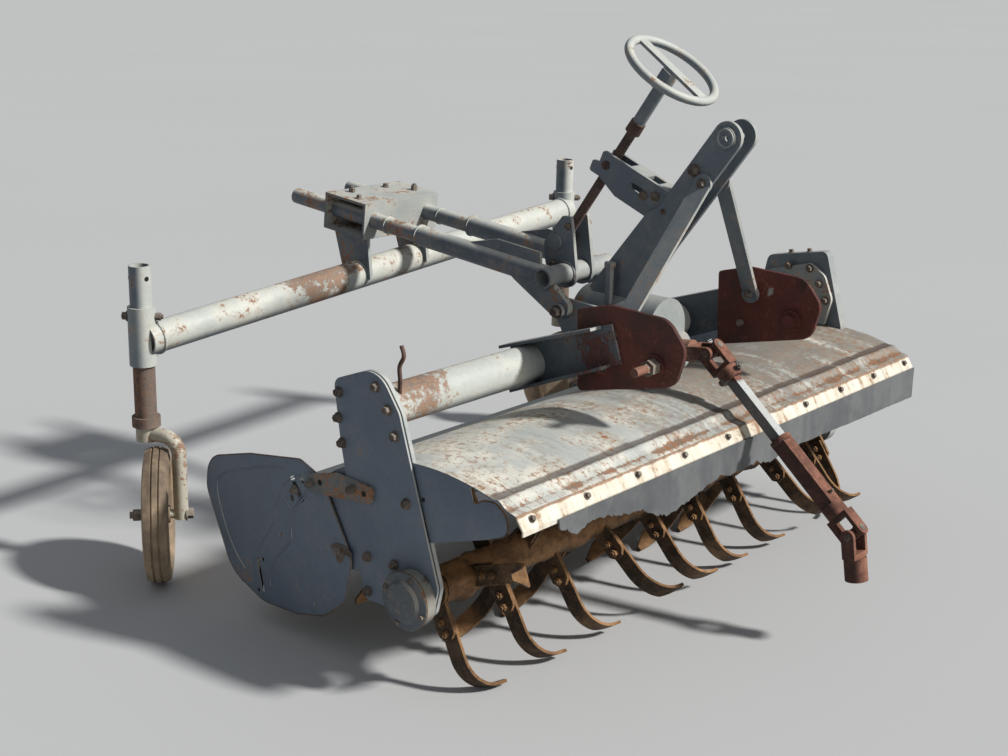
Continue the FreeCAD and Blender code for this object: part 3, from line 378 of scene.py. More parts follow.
def lipPaint(name):
    s = Sheet(name)
    mid = s.noise(14, 5, 0.65)
    fine = s.noise(80, 5, 0.7)
    grit = s.noise(340, 2, 0.5)
    drops = s.noise(1.0, 4, 0.6, s.stretched((34, 6, 6), (2, 2, 2)))
    soft = s.rounded(0.002)
    edge = s.edges(soft)
    colour = s.blend(hoodSet["paint"], hoodSet["chalk"], mid.step(0.28, 0.48))
    colour = s.shaded(colour, (fine - 0.5) * 0.3 + (grit - 0.5) * 0.2 + 1.0)
    colour = s.blend(colour, (0.60, 0.45, 0.27), (drops * 0.6 + mid * 0.4).step(0.40, 0.60) * 0.55)
    rust = (drops * 0.50 + fine * 0.28 + mid * 0.22).step(0.525, 0.61)
    rust = rust.most((fine * 0.6 + grit * 0.4).step(0.60, 0.66) * drops.step(0.40, 0.60))
    rust = rust.most(edge * (mid * 0.5 + drops * 0.5).step(0.42, 0.54))
    top = (1 - ((s.z - 0.5345).size() / 0.009).clip()) * 0.5
    rust = rust.most((top + drops * 0.5 + mid * 0.3).step(0.58, 0.74))
    colour = s.blend(colour, s.blend(hoodSet["dark"], hoodSet["rust"], fine.step(0.34, 0.56)), rust * 0.8)
    return s.finish(colour, 0.5 + 0.3 * rust, 0.0, s.bump(fine * 0.3 + grit * 0.15, 0.35, 0.0012, soft))


# red-brown plates with the last of their grey paint
plateSet = {
    "red": (0.108, 0.022, 0.015),
    "brown": (0.050, 0.018, 0.012),
    "bloom": (0.22, 0.080, 0.048),
    "remains": (0.36, 0.37, 0.35),
    "level": 0.665,
}


def redPlate(name):
    s = Sheet(name)
    wide = s.noise(4.5, 4, 0.6, s.stretched((1, 1, 1), (5.3, 2.1, 7.7)))
    mid = s.noise(20, 5, 0.65)
    fine = s.noise(90, 5, 0.7)
    grit = s.noise(330, 2, 0.5)
    soft = s.rounded(0.0022)
    edge = s.edges(soft)
    colour = s.blend(plateSet["brown"], plateSet["red"], (wide * 0.6 + mid * 0.4).step(0.38, 0.58))
    colour = s.blend(colour, plateSet["bloom"], (fine * 0.6 + mid * 0.4).step(0.54, 0.68) * 0.7)
    remains = (wide * 0.7 + mid * 0.3).step(plateSet["level"] - 0.02, plateSet["level"])
    colour = s.blend(colour, plateSet["remains"], remains * 0.85)
    colour = s.blend(colour, plateSet["bloom"], edge * fine.step(0.40, 0.52) * 0.8)
    colour = s.shaded(colour, (fine - 0.5) * 0.5 + (grit - 0.5) * 0.3 + 1.0)
    height = fine * 0.5 + grit * 0.25 + remains * 0.3
    return s.finish(colour, 0.72 - 0.15 * remains, 0.0, s.bump(height, 0.55, 0.0016, soft))


# bare rusted steel, from dark scale to orange bloom, with a painted sunlit colour on the faces turned to the lamp
rustSet = {
    "shaft": {"dark": (0.036, 0.015, 0.011), "light": (0.088, 0.032, 0.021), "sun": (0.31, 0.128, 0.076),
              "pale": (0.40, 0.29, 0.21), "worn": 0.35},
    "soil": {"dark": (0.026, 0.015, 0.007), "light": (0.086, 0.047, 0.020), "sun": (0.33, 0.165, 0.062),
             "pale": (0.50, 0.31, 0.15), "worn": 0.85},
    "screw": {"dark": (0.036, 0.020, 0.016), "light": (0.095, 0.046, 0.032), "sun": (0.15, 0.085, 0.060),
              "pale": (0.34, 0.32, 0.30), "worn": 0.5},
    "bolt": {"dark": (0.045, 0.032, 0.026), "light": (0.120, 0.082, 0.060), "sun": (0.30, 0.250, 0.200),
             "pale": (0.44, 0.40, 0.34), "worn": 0.6},
}


def rustySteel(name, key, depth=0.003, barePart=None):
    look = rustSet[key]
    s = Sheet(name)
    wide = s.noise(6, 4, 0.6)
    mid = s.noise(24, 5, 0.65)
    fine = s.noise(95, 5, 0.7)
    grit = s.noise(300, 3, 0.6)
    soft = s.rounded(0.002)
    edge = s.edges(soft)
    tone = (wide * 0.35 + mid * 0.35 + fine * 0.30).step(0.40, 0.60)
    colour = s.blend(look["dark"], look["light"], tone)
    # painted light: the sunlit rust colour on faces turned to the lamp
    colour = s.blend(colour, look["sun"], s.sunlitSide * (tone * 0.6 + 0.4))
    if barePart is not None:  # the part where the old grey paint is left on the bar
        low, high = barePart
        line = s.z + (mid - 0.5) * 0.03
        left = line.step(low, low + 0.01) * (1 - line.step(high, high + 0.01)) * (1 - fine.step(0.60, 0.68) * 0.8)
        # painted light and shade: the left paint is dark on faces turned from the lamp and pale on faces turned to
        # it
        colour = s.blend(colour, s.blend((0.085, 0.090, 0.092), (0.56, 0.57, 0.54), s.sunlitSide), left)
    colour = s.shaded(colour, (grit - 0.5) * 0.6 + 1.0)
    dusty = (grit * 0.4 + wide * 0.6).step(0.54, 0.66) * (0.35 + s.topness * 0.4)
    colour = s.blend(colour, look["pale"], (dusty + edge * fine.step(0.36, 0.50) * look["worn"]).clip() * 0.8)
    height = mid * 0.5 + fine * 0.35 + grit * 0.15
    return s.finish(colour, 0.86 - 0.12 * tone, 0.0, s.bump(height, 0.7, depth, soft))


# dusty rubber gone grey
rubberSet = {
    "flap": {"base": (0.108, 0.112, 0.114), "dust": (0.180, 0.183, 0.180), "mud": (0.15, 0.125, 0.10)},
    "tyre": {"base": (0.165, 0.120, 0.082), "dust": (0.43, 0.315, 0.200), "mud": (0.54, 0.39, 0.225)},
}


def oldRubber(name, key):
    look = rubberSet[key]
    s = Sheet(name)
    wide = s.noise(4, 4, 0.6)
    mid = s.noise(22, 5, 0.65)
    fine = s.noise(90, 4, 0.6)
    grit = s.noise(320, 2, 0.5)
    runs = s.noise(1.0, 4, 0.6, s.stretched((24, 24, 3), (7, 7, 7)))
    soft = s.rounded(0.002)
    edge = s.edges(soft)
    colour = s.blend(look["base"], look["dust"], (wide * 0.5 + mid * 0.25 + runs * 0.25).step(0.40, 0.60))
    mud = (mid * 0.5 + grit * 0.3 + runs * 0.2).step(0.54, 0.66)
    colour = s.blend(colour, look["mud"], (mud * 0.5 + edge * 0.4).clip())
    height = fine * 0.4 + grit * 0.3 + mid * 0.3
    return s.finish(colour, 0.80 + 0.12 * mud, 0.0, s.bump(height, 0.5, 0.0015, soft))


# painted shade: a near-black fill standing in for the shade inside holes and openings
def shadeFill(name):
    s = Sheet(name)
    grit = s.noise(200, 2, 0.5)
    return s.finish(s.blend((0.006, 0.006, 0.006), (0.02, 0.016, 0.012), grit), 0.95)


finishes = {
    "frame": oldPaint("framePaint", "frame"),
    "tube": oldPaint("tubePaint", "tube"),
    "beam": oldPaint("beamPaint", "tube", 0.1, None, ((-0.78, -0.17, 0.73), 0.26)),
    "bar": oldPaint("barPaint", "tube", 0.2, None, ((-0.30, 0.70, 0.80), 0.30)),
    # painted shade: the post's rust takes a darker tone than the frame's
    "post": oldPaint("postPaint", "long", 0.1, 0.615, None, ((0.050, 0.026, 0.017), (0.190, 0.090, 0.045))),
    "case": oldPaint("casePaint", "case", 0.05),
    "cap": oldPaint("capPaint", "cap", 0.10),
    "box": oldPaint("boxPaint", "box", 0.10),
    # painted shade: the hitch arms take a darker copy of the frame paint
    "arm": oldPaint("armPaint", "shadedWeb", 0.05, None, ((-0.325, -0.385, 0.72), 0.19),
                    ((0.050, 0.018, 0.012), (0.125, 0.034, 0.022))),
    "long": oldPaint("longPaint", "long"),
    "fork": oldPaint("forkPaint", "fork"),
    "innerBar": rustySteel("rustyBar", "shaft", 0.0018, (0.505, 0.640)),
    "hood": hoodPaint("hoodPaint"),
    "lip": lipPaint("lipPaint"),
    "plate": redPlate("platePaint"),
    "shaft": rustySteel("rustyShaft", "shaft", 0.0022),
    "soil": rustySteel("soiledSteel", "soil", 0.005),
    "screw": rustySteel("rustyScrew", "screw", 0.0015),
    "bolt": rustySteel("rustyBolt", "bolt", 0.0012),
    "flap": oldRubber("flapRubber", "flap"),
    "tyre": oldRubber("tyreRubber", "tyre"),
    "shadeInHole": shadeFill("holeDark"),
}
nodeFinish = {
    "hood": "hood", "hood_lip": "lip", "front_flap": "flap", "rotor": "soil",
    "hitch_plate_near": "plate", "hitch_plate_far": "plate",
    "input_yoke": "shaft", "cross_upper": "shaft", "drive_inner": "innerBar", "drive_outer": "shaft",
    "cross_lower": "shaft", "end_yoke": "shaft", "jack_nut": "screw", "jack_foot": "screw",
    "hand_wheel": "tube", "wheel_fork_near": "fork", "wheel_fork_far": "fork",
    "gauge_wheel_near": "tyre", "gauge_wheel_far": "tyre", "beam_tube_near": "beam",
    "beam_tube_far": "beam", "rear_bar": "bar", "long_tube_near": "long", "long_tube_far": "long",
    "post_near": "post", "post_far": "post", "chain_case": "case", "side_shield_near": "case",
    "side_shield_far": "case", "rear_cover": "case", "cover_strap_near": "cap", "cover_strap_far": "cap",
    "hitch_arm_near": "arm", "hitch_arm_far": "arm", "box_bracket": "box",
}
for name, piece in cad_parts.items():
    piece.data.materials.clear()
    piece.data.materials.append(finishes[nodeFinish.get(name, "frame")])
print("finishes on", len(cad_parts), "nodes")

# where the drawing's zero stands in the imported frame, in millimetres
drawingShift = {"x": 12.5, "y": -153.498}


def at(x, y, z):
    return Vector((x + drawingShift["x"], y + drawingShift["y"], z)) / 1000


def only(*pieces):
    bpy.ops.object.select_all(action="DESELECT")
    for piece in pieces:
        piece.select_set(True)
    bpy.context.view_layer.objects.active = pieces[0]


def settle(piece, name, body, finish, smooth=35):
    piece.name = name
    only(piece)
    if piece.type != "MESH":
        bpy.ops.object.convert(target="MESH")
    for modifier in list(piece.modifiers):
        bpy.ops.object.modifier_apply(modifier=modifier.name)
    bpy.ops.object.transform_apply(location=True, rotation=True, scale=True)
    bpy.ops.object.shade_smooth_by_angle(angle=radians(smooth))
    piece.data.materials.clear()
    piece.data.materials.append(finishes[finish])
    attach(piece, body)
    return piece


def joined(pieces):
    only(*pieces)
    if len(pieces) > 1:
        bpy.ops.object.join()
    return bpy.context.active_object


def eased(piece, width, segments=2, angle=35):
    soften = piece.modifiers.new("soften", "BEVEL")
    soften.width = width
    soften.segments = segments
    soften.limit_method = "ANGLE"
    soften.angle_limit = radians(angle)
    return piece


def aimed(place, direction, turn=0.0, size=1.0):
    quarter = Vector(direction).to_track_quat("Z", "Y").to_matrix().to_4x4()
    return Matrix.Translation(place) @ quarter @ Matrix.Rotation(radians(turn), 4, "Z") @ Matrix.Scale(size, 4)


def topFaces(piece, level):
    bpy.ops.object.mode_set(mode="EDIT")
    mesh = bmesh.from_edit_mesh(piece.data)
    for face in mesh.faces:
        face.select_set(face.normal.z > 0.9 and face.calc_center_median().z > level)
    bmesh.update_edit_mesh(piece.data)


# a turned piece: outline of (radius, height) in millimetres, spun round the direction
def lathe(name, outline, place, direction, sides=32):
    bpy.ops.object.select_all(action="DESELECT")
    mesh = bpy.data.meshes.new(name)
    points = [(r / 1000, 0, h / 1000) for r, h in outline]
    mesh.from_pydata(points, [(i, i + 1) for i in range(len(points) - 1)], [])
    piece = bpy.data.objects.new(name, mesh)
    bpy.context.scene.collection.objects.link(piece)
    turned = piece.modifiers.new("turned", "SCREW")
    turned.steps = sides
    turned.render_steps = sides
    turned.use_merge_vertices = True
    turned.merge_threshold = 0.00002
    turned.use_normal_calculate = True
    only(piece)
    bpy.ops.object.modifier_apply(modifier="turned")
    bpy.ops.object.mode_set(mode="EDIT")
    bpy.ops.mesh.select_all(action="SELECT")
    bpy.ops.mesh.normals_make_consistent(inside=False)
    bpy.ops.object.mode_set(mode="OBJECT")
    piece.matrix_world = aimed(place, direction)
    return piece


# a round bar or bead along points in metres
def bent(name, points, radius, sides=6, closed=False):
    curve = bpy.data.curves.new(name, "CURVE")
    curve.dimensions = "3D"
    curve.bevel_depth = radius
    curve.bevel_resolution = sides // 2
    curve.use_fill_caps = not closed
    spline = curve.splines.new("POLY")
    spline.points.add(len(points) - 1)
    for point, place in zip(spline.points, points):
        point.co = (*place, 1)
    spline.use_cyclic_u = closed
    piece = bpy.data.objects.new(name, curve)
    bpy.context.scene.collection.objects.link(piece)
    only(piece)
    bpy.ops.object.convert(target="MESH")
    return bpy.context.active_object


# a smooth line through points, as a list of points
def flowing(points, steps=6):
    line = []
    count = len(points)
    for i in range(count - 1):
        p0 = points[max(i - 1, 0)]
        p1 = points[i]
        p2 = points[i + 1]
        p3 = points[min(i + 2, count - 1)]
        for k in range(steps):
            t = k / steps
            line.append(0.5 * ((2 * p1) + (p2 - p0) * t + (2 * p0 - 5 * p1 + 4 * p2 - p3) * t * t
                               + (3 * p1 - p0 - 3 * p2 + p3) * t ** 3))
    line.append(points[-1])
    return line


# bolts: one head with its washer and one bare nut, modelled at 1 mm across the flats and copied
boltSet = {"headHeight": 0.62, "washerRadius": 0.80, "washerHeight": 0.13, "nutHeight": 0.78}


def makeHead():
    bpy.ops.object.select_all(action="DESELECT")
    radius = 0.5 / cos(pi / 6)
    base = boltSet["washerHeight"]
    height = boltSet["headHeight"]
    bpy.ops.mesh.primitive_cylinder_add(vertices=6, radius=radius, depth=height,
                                        location=(0, 0, base + height / 2))
    head = bpy.context.active_object
    topFaces(head, 0)
    bpy.ops.mesh.inset(thickness=0.10)
    bpy.ops.transform.translate(value=(0, 0, 0.07))
    bpy.ops.object.mode_set(mode="OBJECT")
    bpy.ops.mesh.primitive_cylinder_add(vertices=20, radius=boltSet["washerRadius"], depth=base,
                                        location=(0, 0, base / 2))
    washer = bpy.context.active_object
    topFaces(washer, 0)
    bpy.ops.mesh.inset(thickness=0.06)
    bpy.ops.transform.translate(value=(0, 0, 0.03))
    bpy.ops.object.mode_set(mode="OBJECT")
    both = joined([head, washer])
    bpy.ops.object.transform_apply(location=True, rotation=True, scale=True)
    return both


def makeNut():
    bpy.ops.object.select_all(action="DESELECT")
    radius = 0.5 / cos(pi / 6)
    height = boltSet["nutHeight"]
    bpy.ops.mesh.primitive_cylinder_add(vertices=6, radius=radius, depth=height, location=(0, 0, height / 2))
    nut = bpy.context.active_object
    topFaces(nut, 0)
    bpy.ops.mesh.inset(thickness=0.20)
    bpy.ops.mesh.extrude_region_move(TRANSFORM_OT_translate={"value": (0, 0, 0.30)})
    bpy.ops.object.mode_set(mode="OBJECT")
    bpy.ops.object.transform_apply(location=True, rotation=True, scale=True)
    return nut


headPattern = makeHead()
nutPattern = makeNut()


def copied(pattern, place, direction, size, turn=0.0):
    piece = pattern.copy()
    piece.data = pattern.data.copy()
    bpy.context.scene.collection.objects.link(piece)
    piece.matrix_world = aimed(place, direction, turn, size / 1000)
    return piece


# rows of (pattern, place in the drawing's millimetres, direction, size across the flats)
def fasteners(name, body, finish, rows):
    pieces = []
    for i, (pattern, place, direction, size) in enumerate(rows):
        pieces.append(copied(pattern, at(*place), direction, size, i * 37 % 60))
    settle(joined(pieces), name, body, finish, 30)


head = headPattern
nut = nutPattern
out = (-1, 0, 0)      # towards the chain drive's side
back = (1, 0, 0)

caseBolts = [(83, 707), (86, 642), (73, 581), (-42, 746), (-82, 698), (-105, 639), (-143, 482),
             (-13, 311), (-104, 316), (-206, 304), (-15, 221)]
fasteners("caseBolts", "tiller_frame", "bolt", [(head, (-952, y, z), out, 17) for y, z in caseBolts])
lipTilt = (0, -0.824, 0.567)
lipBolts = [(-898 + 199.5 * i, -476.2, 520.8) for i in range(10)]
fasteners("lipBolts", "tiller_frame", "bolt", [(head, place, lipTilt, 12) for place in lipBolts])
farBolts = [(-127, 764), (-164, 720), (-190, 669), (45, 640), (40, 700), (-50, 762)]
fasteners("farPlateBolts", "tiller_frame", "bolt",
          [(head, (898, y, z), out, 17) for y, z in farBolts]
          + [(nut, (920, y, z), back, 17) for y, z in farBolts]
          + [(head, (928, -40, 797.5), (0, 0.19, 0.98), 14), (head, (928, -105, 810), (0, 0.19, 0.98), 14)])
flangeRing = [(-5 + 73 * cos(radians(a)), 674.6 + 73 * sin(radians(a))) for a in range(15, 375, 45)]
fasteners("flangeBolts", "tiller_frame", "bolt",
          [(head, (side * 102, y, z), (side, 0, 0), 14) for side in (-1, 1) for y, z in flangeRing])
plateBolts = [(-236, 709), (-264, 799), (-196, 770), (-190, 668)]
fasteners("hitchBolts", "tiller_frame", "bolt",
          [(head, (side * 336, y, z), (side, 0, 0), 17) for side in (-1, 1) for y, z in plateBolts[:2]]
          + [(nut, (side * 314, -264, 799), (-side, 0, 0), 19) for side in (-1, 1)]
          + [(nut, (side * 324, -236, 709), (-side, 0, 0), 17) for side in (-1, 1)])
fasteners("mastBolts", "tiller_frame", "bolt",
          [(head, (side * 40, -287, 1188), (side, 0, 0), 22) for side in (-1, 1)]
          + [(head, (side * 50, -318, 1158), (side, 0, 0), 17) for side in (-1, 1)]
          + [(head, (side * 28, y, z), (side, 0, 0), 17) for side in (-1, 1)
             for y, z in ((-121, 1101), (-160, 1103), (-196, 1068))])
fasteners("pivotBolts", "tiller_frame", "bolt",
          [(head, (side * 152, 62, 770), (side, 0, 0), 24) for side in (-1, 1)])
fasteners("leverBolts", "wheel_frame", "bolt",
          [(head, (side * 43, 166, 872), (side, 0, 0), 17) for side in (-1, 1)]
          + [(head, (side * 43, 118, 985), (side, 0, 0), 14) for side in (-1, 1)])
fasteners("boxBolts", "wheel_frame", "bolt",
          [(nut, (116, 868, 977), (0, -0.09, 1), 19), (nut, (-86, 941, 983), (0, -0.09, 1), 17),
           (head, (-125, 870, 977), (0, -0.09, 1), 14), (head, (60, 940, 984), (0, -0.09, 1), 14)])
fasteners("strapNuts", "tiller_frame", "bolt",
          [(nut, (side * 960, 30, 476), (side, 0, 0), 19) for side in (-1, 1)])
fasteners("hingeNuts", "tiller_frame", "bolt",
          [(nut, (side * 960, 178, 452), (side, 0, 0), 17) for side in (-1, 1)])
print("bolts set")

# jack: smooth ring and flat spoke, square hub, sleeve, and the long screw with its thread
jackSet = {"nutY": 8.0, "nutZ": 1167.0, "footY": 165.0, "footZ": 935.0, "above": 300.0, "wheel": 128.0, "rim": 12.0,
           "screwRadius": 14.0, "pitch": 6.0, "sleeve": 185.0}


def makeJack():
    run = Vector((0, jackSet["footY"] - jackSet["nutY"], jackSet["footZ"] - jackSet["nutZ"]))
    up = -run.normalized()
    foot = at(0, jackSet["footY"], jackSet["footZ"])
    total = run.length + jackSet["above"]
    pieces = []
    bpy.ops.object.select_all(action="DESELECT")
    bpy.ops.mesh.primitive_torus_add(major_radius=jackSet["wheel"] / 1000, minor_radius=jackSet["rim"] / 1000,
                                     major_segments=72, minor_segments=20)
    ring = bpy.context.active_object
    ring.matrix_world = aimed(foot + up * (total + 21.5) / 1000, up)
    bpy.ops.object.select_all(action="DESELECT")
    bpy.ops.mesh.primitive_cube_add(size=1)
    spoke = bpy.context.active_object
    spoke.scale = (0.034, 0.250, 0.009)
    bpy.ops.object.transform_apply(location=True, rotation=True, scale=True)
    spoke.matrix_world = aimed(foot + up * (total + 24) / 1000, up)
    eased(spoke, 0.0015)
    settle(ring, "handRing", "hand_wheel", "tube")
    settle(spoke, "handSpoke", "hand_wheel", "tube")
    bpy.ops.object.select_all(action="DESELECT")
    bpy.ops.mesh.primitive_cube_add(size=1)
    hub = bpy.context.active_object
    hub.scale = (0.034, 0.044, 0.062)
    bpy.ops.object.transform_apply(location=True, rotation=True, scale=True)
    hub.matrix_world = aimed(foot + up * (total - 12) / 1000, up, 90)
    eased(hub, 0.003)
    settle(hub, "handHub", "hand_wheel", "frame")
    low = total - jackSet["sleeve"]
    sleeve = lathe("handSleeve", [(14, low), (18, low), (18, total - 34), (14, total - 34)], foot, up, 32)
    settle(sleeve, "handSleeve", "hand_wheel", "frame")
    cup = lathe("handCup", [(18, low + 34), (21, low + 32), (22, low - 2), (15, low - 4)], foot, up, 32)
    settle(cup, "handCup", "hand_wheel", "screw")
    thread = []
    start = 14.0
    turns = int((low - start) / jackSet["pitch"])
    for i in range(turns):
        h = start + i * jackSet["pitch"]
        thread += [(jackSet["screwRadius"], h), (jackSet["screwRadius"], h + 2.6),
                   (jackSet["screwRadius"] - 2, h + 3.6), (jackSet["screwRadius"] - 2, h + 5.2)]
    thread = [(0.01, start)] + thread + [(0.01, start + turns * jackSet["pitch"])]
    screw = lathe("jackScrew", thread, foot, up, 24)
    settle(screw, "jackScrew", "hand_wheel", "screw", 25)
    for piece in (ring, spoke, hub, sleeve, cup, screw):
        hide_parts("hand_wheel")


makeJack()
print("jack made")

# drive shaft: caps on the crosses, a worn collar, a grease nipple, bolts and a pin
driveSet = {"jointY": -349.0, "jointZ": 706.0, "lowY": -806.8, "lowZ": 313.6, "angle": 40.6}


def makeDriveTrim():
    down = Vector((0, -cos(radians(driveSet["angle"])), -sin(radians(driveSet["angle"]))))
    across = Vector((0, -sin(radians(driveSet["angle"])), cos(radians(driveSet["angle"]))))
    upper = Vector((0, driveSet["jointY"], driveSet["jointZ"]))
    lower = Vector((0, driveSet["lowY"], driveSet["lowZ"]))
    cap = [(0.01, 0), (9.5, 0), (9.5, 2.5), (7.0, 3.4), (0.01, 3.4)]
    for name, body, centre in (("upperCaps", "cross_upper", upper), ("lowerCaps", "cross_lower", lower)):
        caps = []
        for way in (Vector((1, 0, 0)), Vector((-1, 0, 0)), across, -across):
            spot = centre + way * 33.5
            caps.append(lathe(name, cap, at(*spot), way, 20))
        settle(joined(caps), name, body, "bolt")
    ring = lathe("tubeCollar", [(22, 0), (29, 2), (30, 14), (24, 18), (22, 18)],
                 at(*(lower - down * 312)), down, 28)
    settle(ring, "tubeCollar", "drive_outer", "shaft")
    nipple = lathe("greaseNipple", [(0.01, 0), (5, 0), (5, 5), (3, 6), (3, 10), (4, 12), (2, 14), (0.01, 14)],
                   at(*(lower - down * 120 + across * 21)), across, 12)
    settle(nipple, "greaseNipple", "drive_outer", "bolt")
    neck = upper + down * 80
    fasteners("innerPins", "drive_inner", "bolt", [(nut, tuple(neck + across * 29), tuple(across), 15),
                                                   (head, tuple(neck - across * 29), tuple(-across), 15)])


makeDriveTrim()
print("drive shaft trimmed")

# rotor: a crust of dry soil round the tube, and the bolts that hold the blades
rotorSet = {"y": -170.0, "z": 253.6, "tube": 44.5, "half": 886.0, "first": -886.0, "count": 18, "foot": 13.0,
            "turns": (0, 8, 8, -8), "ends": {0: 17, 1: -32, 2: 12, 17: 72}}


def makeCrust():
    rings = 236
    sides = 40
    bpy.ops.object.select_all(action="DESELECT")
    bpy.ops.mesh.primitive_grid_add(x_subdivisions=rings, y_subdivisions=sides, size=1)
    crust = bpy.context.active_object
    half = rotorSet["half"] - 4
    for vertex in crust.data.vertices:
        u = vertex.co.x + 0.5
        a = (vertex.co.y + 0.5) * 2 * pi
        x = -half + 2 * half * u
        spot = Vector((x * 0.011, cos(a) * 0.9, sin(a) * 0.9))
        lump = max(0, noise.noise(spot * 1.3 + Vector((3, 1, 7)))) * 15
        rough = noise.noise(spot * 5.5) * 2.2 + noise.noise(spot * 14) * 1.2
        r = rotorSet["tube"] + 2.6 + lump + rough
        vertex.co = at(x, rotorSet["y"] + r * cos(a), rotorSet["z"] + r * sin(a))
    only(crust)
    bpy.ops.object.mode_set(mode="EDIT")
    bpy.ops.mesh.select_all(action="SELECT")
    bpy.ops.mesh.remove_doubles(threshold=0.0004)
    bpy.ops.mesh.select_all(action="DESELECT")
    bpy.ops.mesh.select_non_manifold()
    bpy.ops.mesh.edge_face_add()
    bpy.ops.mesh.select_all(action="SELECT")
    bpy.ops.mesh.normals_make_consistent(inside=False)
    bpy.ops.object.mode_set(mode="OBJECT")
    settle(crust, "soilCrust", "rotor", "soil", 60)


makeCrust()


def makeBladeBolts():
    rows = []
    spacing = -2 * rotorSet["first"] / (rotorSet["count"] - 1)
    for station in range(rotorSet["count"]):
        turn = rotorSet["ends"].get(station, rotorSet["turns"][station // 2 % 4])
        side = -1 if station % 2 else 1
        angle = 218 - turn if station % 2 else 138 + turn
        x = rotorSet["first"] + station * spacing
        for half in (0, 180):
            a = radians(angle + half)
            for r in (82, 112):
                y = rotorSet["y"] - r * sin(a)
                z = rotorSet["z"] + r * cos(a)
                rows.append((nut, (x + side * rotorSet["foot"], y, z), (side, 0, 0), 17))
                rows.append((nut, (x - side * 5, y, z), (-side, 0, 0), 17))
    fasteners("bladeBolts", "rotor", "soil", rows)


makeBladeBolts()
print("rotor crusted")


# outline of (y, z, corner radius) as a list of (y, z) with the corners rounded
def rounded(points, steps=7):
    line = []
    count = len(points)
    for i, (y, z, radius) in enumerate(points):
        here = Vector((y, z))
        before = (Vector(points[i - 1][:2]) - here).normalized()
        after = (Vector(points[(i + 1) % count][:2]) - here).normalized()
        half = before.angle(after) / 2
        if radius < 0.5 or half > 1.5:
            line.append(here)
            continue
        middle = here + (before + after).normalized() * radius / sin(half)
        start = here + before * radius / (sin(half) / cos(half)) - middle
        end = here + after * radius / (sin(half) / cos(half)) - middle
        sweep = start.angle_signed(end)
        for k in range(steps + 1):
            turn = -sweep * k / steps
            line.append(middle + Vector((start.x * cos(turn) - start.y * sin(turn),
                                         start.x * sin(turn) + start.y * cos(turn))))
    return line


# a plate across X with a given outline in the drawing's millimetres
def flatPlate(name, outline, x0, x1, ease=0.0):
    mesh = bpy.data.meshes.new(name)
    mesh.from_pydata([at(x0, y, z) for y, z in outline], [], [list(range(len(outline)))])
    piece = bpy.data.objects.new(name, mesh)
    bpy.context.scene.collection.objects.link(piece)
    only(piece)
    bpy.ops.object.mode_set(mode="EDIT")
    bpy.ops.mesh.select_all(action="SELECT")
    bpy.ops.mesh.extrude_region_move(TRANSFORM_OT_translate={"value": ((x1 - x0) / 1000, 0, 0)})
    bpy.ops.mesh.select_all(action="SELECT")
    bpy.ops.mesh.normals_make_consistent(inside=False)
    bpy.ops.object.mode_set(mode="OBJECT")
    if ease:
        eased(piece, ease, 2, 50)
    return piece


# chain case: cover plate and flange with a joint line between them, a core to the beam, and the bearing cap
caseSet = {
    "outer": -952.0, "inner": -914.0, "axleY": -170.0, "axleZ": 253.6, "back": 165.0, "rise": 421.0,
    "half": 109.0, "top": 93.0, "footFront": 82.0, "footBack": 174.0,
    "cap": [(70, 0), (70, 27), (73, 29), (73, 34), (70, 36), (57, 37), (53, 39), (50.5, 43), (46, 47), (36, 49.4),
            (20, 50), (0.01, 50)],
}


def caseOutline(grow):
    lean = Vector((caseSet["back"], caseSet["rise"]))
    length = lean.length
    along = lean / length
    across = Vector((along.y, -along.x))
    foot = Vector((caseSet["axleY"], caseSet["axleZ"]))
    half = caseSet["half"]
    rows = [(caseSet["footBack"] + grow, 10 - grow, 18), (half + grow, length - 50, 60),
            (half - 34 + grow, length + caseSet["top"] + grow, 26),
            (-half + 30 - grow, length + caseSet["top"] + grow, 70), (-half - grow, length - 20, 60),
            (-caseSet["footFront"] - grow, 10, 30), (-30 - grow, -62 - grow, 40)]
    points = []
    for a, b, radius in rows:
        spot = foot + across * a + along * b
        points.append((spot.x, spot.y, radius))
    return rounded(points)


def makeCase():
    x = caseSet["outer"]
    axle = at(x, caseSet["axleY"], caseSet["axleZ"])
    pieces = [flatPlate("caseCover", caseOutline(2.6), x, x + 6, 0.0012),
              flatPlate("caseJoint", caseOutline(-1.5), x + 6, x + 10),
              flatPlate("caseFlange", caseOutline(2.6), x + 10, x + 22, 0.0012),
              flatPlate("caseCore", caseOutline(-16), x + 22, caseSet["inner"])]
    for piece in pieces:
        only(piece)
        for modifier in list(piece.modifiers):
            bpy.ops.object.modifier_apply(modifier=modifier.name)
    case = settle(joined(pieces), "caseBody", "tiller_frame", "case")
    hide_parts("chain_case")
    cap = settle(lathe("caseCap", caseSet["cap"], axle, (-1, 0, 0), 64), "caseCap", "tiller_frame", "cap", 28)
    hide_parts("chain_case")
    rim = [axle + Vector((-0.0315, 0.0725 * cos(a / 40 * pi), 0.0725 * sin(a / 40 * pi))) for a in range(80)]
    settle(bent("capRim", rim, 0.0016, 6, True), "capRim", "tiller_frame", "soil", 60)
    fasteners("capScrews", "tiller_frame", "bolt",
              [(head, (x - 35, caseSet["axleY"] + 63 * cos(radians(a)), caseSet["axleZ"] + 63 * sin(radians(a))),
                (-1, 0, 0), 10) for a in (20, 110, 200, 290)])
    dome = lathe("farDome", [(0.01, 7), (16, 6.4), (32, 4.2), (43, 1.2), (47, -1), (0.01, -1)],
                 at(969.5, caseSet["axleY"], caseSet["axleZ"]), (1, 0, 0), 48)
    settle(dome, "farDome", "tiller_frame", "frame", 50)


makeCase()


